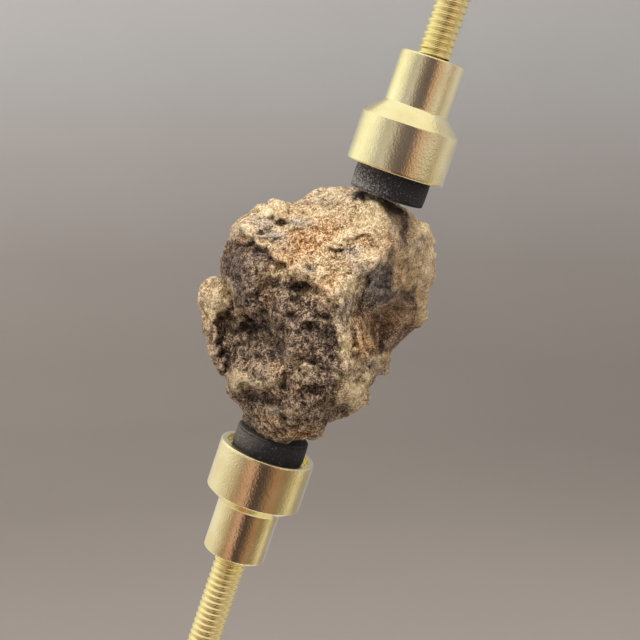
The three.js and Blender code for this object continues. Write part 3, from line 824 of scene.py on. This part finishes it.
def modified(mesh, modifiers):
    holder = bpy.data.objects.new("holder", mesh)
    scene.collection.objects.link(holder)
    for kind, settings in modifiers:
        modifier = holder.modifiers.new(kind, kind)
        for name, value in settings.items():
            setattr(modifier, name, value)
    graph = bpy.context.evaluated_depsgraph_get()
    result = bpy.data.meshes.new_from_object(holder.evaluated_get(graph))
    bpy.data.objects.remove(holder)
    return result


def reachOfOutline(angles, corners):  # distance from the middle to the outline's farthest side
    reach = np.zeros(len(angles))
    closed = corners + corners[:1]
    for (ax, ay), (bx, by) in zip(closed, closed[1:]):
        cosine, sine = np.cos(angles), np.sin(angles)
        dx, dy = bx - ax, by - ay
        slant = cosine * dy - sine * dx
        slant = np.where(np.abs(slant) < 1e-9, 1e-9, slant)
        out = (ax * dy - ay * dx) / slant
        along = np.where(abs(dx) > abs(dy), (out * cosine - ax) / (dx or 1e-9),
                         (out * sine - ay) / (dy or 1e-9))
        met = (along >= -1e-6) & (along <= 1 + 1e-6) & (out > 0)
        reach = np.where(met, np.maximum(reach, out), reach)
    return reach


def fitOutline(points):
    right, up = sighted(points)
    angles, away = np.arctan2(up, right), np.hypot(right, up)
    sectors = 180
    sector = ((angles + math.pi) / (2 * math.pi) * sectors).astype(int) % sectors
    widest = np.zeros(sectors)
    np.maximum.at(widest, sector, away)
    middles = (np.arange(sectors) + 0.5) / sectors * 2 * math.pi - math.pi
    wanted = reachOfOutline(middles, stone["outline"]) / widest
    change = np.interp(angles, middles, wanted, period=2 * math.pi)
    limit = np.interp(angles, middles, widest, period=2 * math.pi)
    share = np.clip((away / limit - 0.55) / 0.45, 0, 1)
    scale = 1 + (change - 1) * share * share * (3 - 2 * share)
    moved = points.copy()
    moved[:, 0] *= scale
    moved[:, 2] *= scale
    return moved


def carveFront(mesh):
    points, _, edges = meshArrays(mesh)
    points = neighbourMean(points, edges, stone["settle"], 0.6)
    points = fitOutline(points)
    seen = seenFromEye(mesh, points, edges)
    towardsEye = np.array([0, -layout["sightDistance"], 0]) - points
    towardsEye /= np.linalg.norm(towardsEye, axis=1)[:, None]
    points += towardsEye * (frontRelief(points) * seen)[:, None]
    setPoints(mesh, points)
    return mesh


def cellRandom(cells, salt):  # three settled random numbers for every whole-number cell
    mixed = cells[:, 0] * 73856093 ^ cells[:, 1] * 19349663 ^ cells[:, 2] * 83492791 ^ salt * 7919
    numbers = []
    for _ in range(3):
        mixed = (mixed ^ (mixed >> 13)) * 1274126177 & 0x7fffffff
        numbers.append(mixed / 0x7fffffff)
    return np.stack(numbers, 1)


def brokenPlanes(points, size, slope, salt):  # height of tilted planes that meet in sharp valleys
    spots = points / size
    spots = spots + 0.5 * np.stack([perlin(points, size * 0.7, salt + shift)
                                    for shift in (0.3, 11.3, 23.3)], 1)
    base = np.floor(spots).astype(np.int64)
    away, rise = [], []
    for step in np.ndindex(3, 3, 3):
        cells = base + np.array(step) - 1
        offset = spots - cells - cellRandom(cells, salt)
        tilt = cellRandom(cells, salt + 50) * 2 - 1
        away.append(np.sqrt((offset ** 2).sum(1)))
        rise.append((offset * tilt).sum(1) + 0.3 * tilt[:, 0])
    away = np.array(away)
    weight = np.exp((away.min(0) - away) * 12)
    return slope * size * (np.array(rise) * weight).sum(0) / weight.sum(0)


def wornGroundAndPaintedLight(points, seen):  # 0 on the dark crust to 1 on the worn tan ground; towards the eye partly painted light and shade
    right, up = strayed(points, weatheringAndPaintedLight["edgeWander"])
    front = np.full(len(points), 0.08)
    for strength, corners in weatheringAndPaintedLight["pale"]:
        depth = insideShape(right, up, corners)
        front = np.maximum(front, strength * np.clip(0.5 + depth / 0.5, 0, 1))
    elsewhere = np.clip(0.42 + 0.9 * perlin(points, 6.0, 14.0) + 0.4 * perlin(points, 2.2, 5.0),
                        0.05, 1)
    return seen * front + (1 - seen) * elsewhere


def wornSmooth(right, seen, edges):  # the right side and its rim, where wear has evened the grain
    beside = np.clip(neighbourMean(seen, edges, 10) * 2.5, 0, 1)
    return beside * np.clip((right - 5) / 4, 0, 1)


def breakSurface(mesh):
    points, normals, edges = meshArrays(mesh)
    seen = seenFromEye(mesh, points, edges)
    right, up = sighted(points)
    softer = wornSmooth(right, seen, edges)
    points += softer[:, None] * (neighbourMean(points, edges, 6) - points)
    # smoother where the dark plates and the painted shade lie
    plates = seen * spots(right, up, weatheringAndPaintedLight["dark"])
    calm = (1 - 0.55 * wornGroundAndPaintedLight(points, seen)) * (1 - 0.5 * softer) * (1 - 0.6 * plates)
    outward = neighbourMean(normals, edges, 6)
    outward /= np.linalg.norm(outward, axis=1)[:, None]
    height = np.zeros(len(points))
    for i, (size, slope, share) in enumerate(stone["facets"]):
        height += calm * brokenPlanes(points, size, slope, 3 + i) * (1 + (share - 1) * seen)
    for i, (size, rise) in enumerate(stone["grit"]):
        height += rise * calm * perlin(points, size, 9.3 + i)
    setPoints(mesh, points + outward * height[:, None])
    return mesh


# Weathering seen on the side towards the eye, with painted light and shade among it, as [right, up]
# shapes in mm
weatheringAndPaintedLight = {
    # worn tan ground against the dark granular crust, partly painted light and shade (paler on faces
    # turned up to the light, dark on the shaded front face): strength, corners
    "pale": [
        # the top facet, and its spill over the brow and the head of the column
        (1.0, [(-12, 9.0), (-9.6, 8.5), (-8.6, 8.7), (-7.6, 8.3), (-6.6, 8.0), (-5.6, 7.3),
               (-4.6, 6.1), (-3.7, 4.9), (-2.4, 3.9), (-0.5, 3.1), (0.4, 2.5), (0.8, 1.8),
               (1.4, 1.0), (2.3, 0.4), (2.6, 1.3), (4.8, 1.6), (5.8, 2.8), (6.2, 4.4),
               (7.4, 5.8), (8.4, 6.2), (8.7, 7.8), (8.8, 9.5), (8.5, 11.2), (8.0, 12.9),
               (7.0, 13.8), (4.3, 13.5), (4.0, 15), (3, 17), (-2, 17), (-6, 16), (-13, 12)]),
        # below the ridge and at the head of the column: partly painted light, lifting faces that lie in
        # the ridge's shade
        (0.85, [(-5.8, 5.8), (-4.6, 5.6), (-3.5, 4.8), (-2.2, 4.3), (-3.0, 3.7), (-4.9, 3.7),
                (-6.2, 4.4)]),
        (0.5, [(-2.0, 2.7), (0.3, 3.0), (1.2, 1.6), (2.4, 0.9), (2.3, -0.4), (0.7, 0.2),
               (-0.8, 0.9), (-2.0, 1.5)]),
        (0.45, [(-2.2, 2.0), (-0.6, 2.1), (0.6, 1.4), (-0.4, 0.9), (-1.8, 1.3)]),
        (0.4, [(-8.4, 5.8), (-6.4, 5.8), (-4.6, 4.5), (-4.6, 2.8), (-6.8, 2.4), (-8.2, 4.0)]),
        # the lobe and the rim below it, partly painted light where the lobe turns down away from the
        # light
        (0.95, [(-16, 6), (-11.5, 4.6), (-11.0, 3.8), (-10.2, 2.2), (-10.3, 1.2), (-11.4, 0.0),
                (-12.4, -0.9), (-13.2, -1.6), (-16, -1.0)]),
        (0.45, [(-16, 0), (-12.4, -0.4), (-12.3, -3.0), (-12.1, -5.4), (-11.8, -7.2), (-13, -8),
                (-16, -7)]),
        # cheek, column, chin and bottom, thinly
        (0.35, [(-12.6, -0.4), (-10.8, 0.8), (-9.8, -0.6), (-10.4, -2.4), (-12.4, -3.4)]),
        (0.35, [(-10.4, 1.2), (-9.2, 0.6), (-8.2, 0.2), (-8.4, -0.6), (-9.8, -0.8), (-10.8, 0)]),
        (0.25, [(-10.8, -2.6), (-6.6, -2.4), (-5.2, -3.0), (-4.8, -4.8), (-7.5, -4.6),
                (-10.8, -4.4)]),
        (0.25, [(-4.6, -4.0), (-1.6, -4.6), (0.4, -6.4), (0.6, -8.8), (-1.6, -10), (-4, -8)]),
        (0.4, [(-11.6, -8.6), (-10.6, -7.0), (-9.4, -7.4), (-7.5, -7.0), (-5.6, -5.8),
               (-4.2, -5.6), (-2.8, -5.8), (-1.2, -6.2), (-1.2, -7.8), (-1.9, -10.0),
               (-3.3, -10.6), (-5.2, -10.3), (-7.0, -9.8), (-9.6, -9.8), (-11, -10.6)]),
        (0.3, [(-8.6, -11.4), (-6.5, -11.6), (-4.0, -10.2), (-2.5, -11.2), (-1.0, -13.2),
               (0.4, -13.6), (2.2, -12.6), (4.0, -11.9), (3, -14), (0, -16), (-6, -17),
               (-8.6, -15)]),
        (0.4, [(-1.4, -12.0), (2.4, -10.8), (3.4, -11.6), (0.6, -13.2)]),
        # the ridge down the column and the lump at its foot
        (0.75, [(2.6, 1.2), (5.2, 2.0), (5.0, 0.4), (4.6, -1.0), (4.5, -2.4), (2.2, -2.4),
                (2.1, -0.8)]),
        (0.75, [(2.3, -2.2), (4.5, -2.2), (4.5, -4.3), (4.9, -6.9), (4.4, -8.2), (3.3, -8.6),
                (3.4, -6.8), (2.7, -4.4)]),
        (1.0, [(2.6, -8.2), (4.4, -7.5), (7, -7.2), (6.8, -9.3), (6, -11.6), (4.3, -12.8),
               (2.0, -11.6), (2.2, -9.6)]),
        # right side: crest, flank, rim, floor of the recess and its low edge, made paler in part as
        # painted light on faces the relief leaves in shade
        (0.7, [(8.1, 13.0), (8.5, 11.2), (8.8, 9.5), (8.7, 7.8), (9.4, 7.8), (9.5, 9.5),
               (9.0, 11.2)]),
        (0.85, [(8.3, 13.0), (9.0, 11.2), (9.5, 9.5), (9.4, 7.8), (9.9, 7.0), (10.1, 9.0),
                (9.9, 11.0), (9.3, 13.0)]),
        (0.9, [(9.6, 8.4), (9.2, 7.8), (9.0, 5.0), (9.4, 2.4), (10.4, 2.6), (11.2, 3.2),
               (12.2, 3.6), (12.2, 6.2), (11.4, 8.2), (10.4, 8.6)]),
        (0.95, [(10.9, 13.2), (11.0, 10.0), (11.2, 8.0), (11.6, 5.6), (12.0, 3.6), (12.2, 0.4),
                (11.8, -1.6), (14.5, -1.6), (16, 4), (15, 12)]),
        (0.45, [(7.4, 0.6), (9.4, 2.0), (11.0, 2.0), (11.8, 0.4), (11.4, -1.6), (8.4, -1.8)]),
        (0.9, [(4.6, -2.0), (6.4, -1.8), (6.9, -4.4), (5.8, -6.0), (4.6, -5.4)]),
        (0.65, [(4.3, -5.4), (5.0, -6.0), (6.3, -5.0), (8.2, -4.8), (10, -4.6), (9, -7.6),
                (6.8, -8.4), (4.6, -7.4)]),
    ],
    # stains, grains, painted light and painted shade: right, up, half width, half height, strength
    "rust": [
        (-4.4, 11.9, 0.6, 0.4, 0.5), (7.6, 12.4, 0.8, 0.6, 0.4), (11.9, 10.6, 0.4, 1.4, 0.4),
        (0.8, 9.8, 2.2, 1.3, 0.8), (-9.1, 9.1, 0.5, 0.5, 0.6), (8.9, 9.2, 0.4, 2.2, 0.4),
        (5.6, 8.5, 1.2, 0.4, 0.6), (-1.6, 8.2, 2.8, 1.8, 0.95), (-10.8, 7.4, 0.9, 0.8, 0.5),
        (-3.8, 7.0, 1.5, 1.6, 0.9), (13.5, 4.9, 0.7, 0.8, 0.5), (10.6, 4.2, 0.9, 1.4, 0.4),
        (1.2, 3.2, 1.3, 1.8, 0.6), (-6.0, 1.6, 0.9, 1.4, 0.3), (-9.4, -0.1, 1.0, 0.5, 0.35),
        (8.6, -0.6, 3.0, 1.6, 0.45), (5.6, -2.2, 1.3, 2.8, 0.9), (5.5, -4.2, 1.5, 1.6, 1.0),
        (-5.0, -7.3, 0.8, 0.5, 0.5), (-2.2, -9.2, 0.6, 0.8, 0.5), (-6.0, -13.4, 1.6, 0.5, 0.4),
        (-3.0, -14.8, 3.8, 0.6, 0.65),
    ],
    "cream": [
        # cream grains and patches; some are painted light that lifts faces in shade: under the upper
        # pad, the lobe's lower face, below the ridge and the low lump at the bottom right
        (1.6, 14.4, 2.2, 0.8, 0.6), (6.9, 13.4, 1.6, 0.6, 0.9), (-5.6, 12.7, 1.8, 0.9, 0.9),
        (-0.4, 12.4, 1.4, 0.5, 0.5), (6.2, 11.4, 2.2, 1.6, 0.8), (-8.7, 10.2, 1.0, 0.8, 0.6),
        (12.9, 9.7, 0.9, 1.2, 0.9), (3.3, 9.3, 1.1, 0.65, 1.0), (13.8, 7.1, 0.6, 0.7, 0.8),
        (9.9, 7.0, 0.5, 0.9, 0.4), (6.4, 6.7, 1.2, 0.5, 0.7), (13.4, 5.2, 0.8, 1.4, 0.6),
        (-4.4, 4.6, 1.0, 0.5, 0.5), (11.6, 3.6, 0.9, 1.0, 0.5), (4.0, 3.1, 1.4, 1.0, 0.8),
        (-11.2, 3.0, 0.7, 0.9, 0.5), (-12.4, 1.6, 1.1, 2.0, 0.55), (2.4, 1.4, 0.7, 0.5, 0.6),
        (12.8, 0.1, 0.5, 1.2, 0.7), (3.3, -4.1, 0.7, 1.6, 1.0), (7.5, -6.1, 0.6, 0.7, 0.7),
        (4.4, -6.4, 0.35, 0.5, 1.0), (-1.7, -7.0, 0.6, 0.5, 0.6), (2.6, -7.6, 0.6, 0.8, 0.5),
        (5.9, -8.3, 0.35, 0.8, 0.8), (-9.9, -8.4, 1.0, 1.0, 0.9), (-7.8, -8.8, 1.8, 0.3, 0.6),
        (4.5, -10.3, 1.25, 1.8, 1.0), (-5.8, -11.8, 0.5, 0.3, 0.6),
    ],
    "grey": [
        (1.0, 14.1, 3.2, 1.0, 0.5), (-7.0, 11.5, 1.8, 0.7, 0.6), (9.2, 11.0, 0.35, 2.4, 0.5),
        (-2.6, 10.8, 1.8, 0.6, 0.8), (-6.6, 10.6, 1.6, 0.8, 0.8), (-9.6, 10.2, 1.1, 1.0, 0.5),
        (-5.4, 9.3, 1.8, 0.6, 0.9), (11.6, 8.4, 0.4, 1.8, 0.35), (12.6, 8.2, 0.9, 0.9, 0.6),
        (4.2, 7.3, 1.4, 0.8, 0.7), (13.4, 5.4, 0.8, 2.6, 0.4), (5.0, 5.4, 1.1, 0.5, 0.6),
        (-0.8, 5.3, 0.5, 0.4, 0.8), (7.4, 3.1, 2.0, 2.3, 0.95), (3.2, 0.2, 1.0, 1.8, 0.5),
        (-4.8, -5.0, 1.2, 0.7, 0.4), (6.8, -6.6, 1.4, 0.9, 0.5), (-5.4, -11.8, 0.8, 0.5, 0.5),
        (-7.8, -13.9, 0.6, 0.3, 0.7),
    ],
    "dark": [
        # dark crust plates; some are painted shade in gaps and pits that lie in shadow: under the upper
        # pad's edge, in the cavity beside it and in the hole beneath the worn top's edge
        (5.9, 14.2, 1.7, 0.45, 0.95), (1.3, 13.0, 0.7, 0.16, 0.7), (9.2, 12.8, 0.9, 0.9, 0.9),
        (-3.4, 12.8, 0.4, 0.4, 0.6), (11.4, 11.4, 0.4, 1.0, 0.45), (-5.5, 11.3, 0.6, 0.4, 0.6),
        (-4.6, 11.0, 0.5, 0.5, 0.9), (-2.0, 10.6, 0.9, 0.3, 0.5), (10.4, 10.4, 0.5, 2.0, 0.55),
        (-5.9, 9.9, 0.4, 0.3, 0.7), (-6.8, 9.6, 0.8, 0.5, 0.8), (7.6, 9.5, 0.4, 0.14, 0.7),
        (5.4, 9.3, 1.0, 0.17, 0.9), (-6.2, 8.9, 0.8, 0.4, 0.5), (12.9, 8.9, 0.45, 0.35, 0.8),
        (7.0, 8.6, 0.3, 0.4, 0.7), (10.5, 8.4, 0.45, 0.9, 0.6), (-9.6, 8.2, 0.9, 0.4, 0.5),
        (-3.9, 7.6, 1.7, 1.0, 0.45), (3.1, 7.5, 0.5, 0.22, 1.0), (1.9, 7.4, 0.6, 0.22, 1.0),
        (8.6, 7.4, 0.3, 0.5, 0.5), (-7.6, 7.0, 1.2, 0.9, 0.6), (12.5, 6.2, 0.3, 1.0, 0.4),
        (-6.7, 6.0, 0.9, 1.0, 0.6), (-4.7, 6.1, 0.5, 0.5, 0.5), (-10.4, 5.7, 1.8, 2.9, 1.0),
        (10.9, 5.6, 0.5, 0.8, 0.5), (-0.7, 5.3, 0.4, 0.35, 0.8), (3.2, 5.0, 0.3, 0.15, 0.7),
        (4.9, 4.2, 0.8, 0.22, 1.0), (0.8, 4.2, 0.25, 0.15, 0.8), (-3.9, 3.2, 1.1, 0.6, 0.6),
        (7.4, 3.1, 1.8, 2.2, 0.3), (-1.8, 3.0, 1.5, 0.8, 0.2), (-9.6, 2.6, 1.2, 1.8, 0.75),
        (11.0, 1.6, 0.7, 0.8, 0.6), (-10.2, 1.2, 0.5, 0.3, 0.4), (-7.5, 1.0, 0.7, 1.1, 0.4),
        (-13.9, 0.9, 0.45, 0.5, 0.7), (5.2, 0.6, 0.5, 1.4, 0.7), (9.3, 0.1, 1.0, 0.5, 0.4),
        (-3.1, -0.6, 0.9, 0.8, 0.5), (8.3, -0.9, 2.2, 1.1, 0.5), (5.8, -1.4, 1.0, 1.2, 0.45),
        (-6.8, -1.4, 1.3, 1.0, 0.7), (-0.9, -1.9, 0.9, 0.3, 0.3), (-9.0, -2.1, 3.0, 0.5, 0.6),
        (0.9, -2.6, 1.3, 1.2, 0.6), (-12.3, -3.6, 0.3, 3.0, 0.5), (-3.9, -4.1, 0.9, 1.4, 0.5),
        (7.4, -4.4, 0.4, 1.1, 0.5), (-0.7, -6.1, 0.7, 0.7, 0.6), (-2.5, -7.2, 0.25, 0.5, 0.8),
        (-7.2, -7.7, 1.5, 0.6, 0.5), (4.8, -8.5, 0.7, 0.4, 0.4), (-4.0, -9.1, 0.8, 0.8, 0.75),
        (-1.0, -9.4, 1.2, 0.6, 0.5), (-7.5, -10.5, 1.8, 0.7, 0.65), (-5.4, -10.8, 0.8, 0.5, 0.45),
        (3.3, -11.9, 0.6, 0.3, 0.9), (1.4, -12.0, 1.8, 0.7, 0.5), (-8.3, -12.6, 0.8, 1.4, 0.6),
    ],
    "edgeWander": 0.35,  # mm that the borders of the worn ground stray
    # the same marks where the eye doesn't reach, as random patches only: gain, size, own shift,
    # threshold, most
    "outOfView": [("rust", 2.6, 4.5, 40.0, 0.3, 0.8), ("cream", 2.4, 3.2, 51.0, 0.6, 0.6),
                  ("grey", 2.4, 3.8, 62.0, 0.6, 0.6), ("dark", 2.4, 2.6, 73.0, 0.6, 0.7)],
}


def spots(right, up, places):
    amount = np.zeros(len(right))
    for x, y, halfWidth, halfHeight, strength in places:
        away = ((right - x) / halfWidth) ** 2 + ((up - y) / halfHeight) ** 2
        amount = np.maximum(amount, strength * np.exp(-away ** 1.3))
    return amount


def openness(points, normals, polygons):  # share of the sky seen from each point; the stone's colour darkens with it as painted shade
    tree = BVHTree.FromPolygons([Vector(p) for p in points], polygons)
    golden = math.pi * (3 - math.sqrt(5))
    count, reach, lift = 14, 3.0, 0.08  # rays, their length and their start off the surface
    rays = []
    for i in range(count):
        z = 1 - (i + 0.5) / count
        rays.append(Vector((math.cos(i * golden) * math.sqrt(1 - z * z),
                            math.sin(i * golden) * math.sqrt(1 - z * z), z)))
    free = np.zeros(len(points))
    for i, (spot, normal) in enumerate(zip(points, normals)):
        start = Vector(spot + normal * lift)
        turn = Vector(normal).to_track_quat("Z", "Y")
        for ray in rays:
            if tree.ray_cast(start, turn @ ray, reach)[0] is None:
                free[i] += 1
    return free / count


def markStoneWearAndPaintedLight(mesh):  # stores what the stone's finish reads, point by point: worn ground, stains and painted light and shade from crests, creases and the share of sky each point sees
    points, normals, edges = meshArrays(mesh)
    polygons = [tuple(face.vertices) for face in mesh.polygons]
    seen = seenFromEye(mesh, points, edges)
    right, up = strayed(points, weatheringAndPaintedLight["edgeWander"])
    masks = {"pale": wornGroundAndPaintedLight(points, seen)}
    for name, gain, size, shift, threshold, most in weatheringAndPaintedLight["outOfView"]:
        elsewhere = np.clip(gain * perlin(points, size, shift) - threshold, 0, most)
        masks[name] = seen * spots(right, up, weatheringAndPaintedLight[name]) + (1 - seen) * elsewhere
    masks["even"] = wornSmooth(right, seen, edges)
    plates = np.clip(2.6 * perlin(points, 1.5, 87.0) - 0.35, 0, 0.7) * (1 - masks["pale"])
    masks["dark"] = np.maximum(masks["dark"], seen * plates)
    soft = neighbourMean(points, edges, 10)
    # lighter on crests and darker in creases: partly edge wear, partly painted shade in the creases
    masks["crest"] = np.clip(0.5 + ((points - soft) * normals).sum(1) * 4.0, 0, 1)
    # painted shade: the colour is darker where less sky is seen, in pits and crevices
    masks["open"] = neighbourMean(openness(points, normals, polygons), edges, 1)
    for name, values in masks.items():
        layer = mesh.attributes.new(name, "FLOAT", "POINT")
        layer.data.foreach_set("value", values.astype(np.float32))
    return mesh


# Grounds of the stone's finish, laid over one another: what carries each, how strongly it
# covers, and its colours from the darkest grain to the lightest
grounds = [
    ("pale", 1.0, [(0.0, "#33220f"), (0.28, "#735938"), (0.55, "#b2966b"), (0.8, "#cfb488"),
                   (1.0, "#f3dcb8")]),
    ("rust", 0.88, [(0.0, "#36190a"), (0.3, "#71421e"), (0.65, "#b07a44"), (1.0, "#f2cd9a")]),
    ("grey", 0.85, [(0.0, "#2f2a25"), (0.35, "#6b655c"), (0.7, "#9b9387"), (1.0, "#d0c7b8")]),
    ("cream", 0.9, [(0.0, "#94804f"), (0.35, "#c9b27c"), (0.7, "#e4cf9c"), (1.0, "#fdecc4")]),
    ("dark", 0.88, [(0.0, "#1b1513"), (0.5, "#3a302c"), (1.0, "#6c5d53")]),
]
# the crust's dark colours; on the front face they also stand in for the shade it lies in, as painted
# shade
crust = [(0.0, "#1c1512"), (0.32, "#3a2d26"), (0.58, "#5b4a3f"), (0.8, "#846e5c"), (1.0, "#c2a98c")]
stoneFinish = {
    "size": 0.16,
    "mottling": 0.8,
    "contrast": 2.6,  # of the mottling
    "tone": -1.63,
    # what each adds to a grain's lightness: its own chance, standing proud (edge wear, and painted
    # shade in creases), lying open to the sky (painted shade where less sky is seen)
    "chance": 1.0,
    "crest": 0.34,
    "open": 0.35,
    "evened": 0.4,  # how far worn ground at the side draws to one lightness
    "evenTone": 0.6,
    "hueSpread": 0.17,
    "hueLeast": (0.94, 0.93, 1.03),
    "mottleHeight": 0.065,
    "height": 0.11,
    "roughness": 0.9,
}


def stoneMaterial():
    # Weathered ordinary chondrite, broken not cut: a dry matt stone, dark and granular where the crust
    # is left, tan to rust where it is worn, with dark pores and small bright grains; its colour also
    # carries painted light and shade: paler on some faces in shade, darker on the front face, in
    # creases, in gaps and where little sky is seen
    material, tree, shader = startMaterial("weatheredChondrite")
    place = addNode(tree, "ShaderNodeTexCoord").outputs["Object"]
    carried = {name: addNode(tree, "ShaderNodeAttribute", {"attribute_name": name}).outputs["Fac"]
               for name in ("pale", "rust", "grey", "cream", "dark", "crest", "open", "even")}

    # how light each grain is: its own chance, the mottling round it, and how it stands, which paints
    # shade into creases and where little sky is seen
    mottle = addNode(tree, "ShaderNodeTexNoise",
                     inputs={"Vector": place, "Scale": perMetre(stoneFinish["mottling"]),
                             "Detail": 9.0, "Roughness": 0.8})
    bent = addNode(tree, "ShaderNodeTexNoise",
                   inputs={"Vector": place, "Scale": perMetre(0.2), "Detail": 2.0})
    wavy = addNode(tree, "ShaderNodeVectorMath", {"operation": "MULTIPLY_ADD"},
                   {0: bent.outputs["Color"], 1: (0.15 * mm,) * 3, 2: place})
    cells = addNode(tree, "ShaderNodeTexVoronoi",
                    inputs={"Vector": wavy, "Scale": perMetre(stoneFinish["size"])})
    light = addNode(tree, "ShaderNodeMath", {"operation": "MULTIPLY_ADD"},
                    {0: mottle, 1: stoneFinish["contrast"], 2: stoneFinish["tone"]})
    for source, share in ((cells.outputs["Color"], stoneFinish["chance"]),
                          (carried["crest"], stoneFinish["crest"]),
                          (carried["open"], stoneFinish["open"])):
        light = addNode(tree, "ShaderNodeMath", {"operation": "MULTIPLY_ADD"},
                        {0: source, 1: share, 2: light})
    still = addNode(tree, "ShaderNodeMath", {"operation": "MULTIPLY"},
                    {0: carried["even"], 1: stoneFinish["evened"]})
    light = addNode(tree, "ShaderNodeMix", {"data_type": "FLOAT"},
                    {0: still, 2: light, 3: stoneFinish["evenTone"]})

    colour = addNode(tree, "ShaderNodeValToRGB", {"stops": crust}, {"Fac": light})
    for name, cover, stops in grounds:
        ground = addNode(tree, "ShaderNodeValToRGB", {"stops": stops}, {"Fac": light})
        share = addNode(tree, "ShaderNodeMath", {"operation": "MULTIPLY"},
                        {0: carried[name], 1: cover})
        colour = addNode(tree, "ShaderNodeMix", {"data_type": "RGBA"},
                         {0: share, 6: colour, 7: ground})
    # each grain leans a little to its own hue
    hue = addNode(tree, "ShaderNodeVectorMath", {"operation": "MULTIPLY_ADD"},
                  {0: cells.outputs["Color"], 1: (stoneFinish["hueSpread"],) * 3,
                   2: stoneFinish["hueLeast"]})
    tinted = addNode(tree, "ShaderNodeVectorMath", {"operation": "MULTIPLY"},
                     {0: colour.outputs[2], 1: hue})
    tree.links.new(tinted.outputs["Vector"], shader.inputs["Base Color"])
    shader.inputs["Roughness"].default_value = stoneFinish["roughness"]
    shader.inputs["Specular IOR Level"].default_value = 0.3

    lumps = addNode(tree, "ShaderNodeBump",
                    inputs={"Height": light, "Strength": 1.0,
                            "Distance": stoneFinish["mottleHeight"] * mm})
    grains = addNode(tree, "ShaderNodeBump", {"invert": True},
                     {"Height": cells.outputs["Distance"], "Strength": 0.8,
                      "Distance": stoneFinish["height"] * mm, "Normal": lumps})
    tree.links.new(grains.outputs["Normal"], shader.inputs["Normal"])
    return material


def addStone():
    mesh = carveFront(coarseStone())
    mesh = modified(mesh, [("REMESH", {"mode": "VOXEL", "voxel_size": stone["voxel"]})])
    mesh = breakSurface(mesh)
    mesh = markStoneWearAndPaintedLight(mesh)
    mesh.transform(stonePlace @ Matrix.Diagonal((mm,) * 3).to_4x4())
    mesh.update()
    mesh.shade_smooth()
    dressPiece("meteoriteStone", mesh, stoneMaterial(), "meteorite")
    print("stone", len(mesh.polygons), "faces")


addCamera()
addStudio()
print("camera and studio")

for prefix, place in clamps.items():
    addCup(prefix, place, cupBrass(place, f"turnedBrass_{prefix}"))
print("cups")

threadBrass = rodBrass()
for prefix, place in clamps.items():
    addRod(prefix, place, threadBrass)
print("rods")

rubber = padRubber()
for prefix, place in clamps.items():
    addPad(prefix, place, rubber)
print("pads")

addStone()
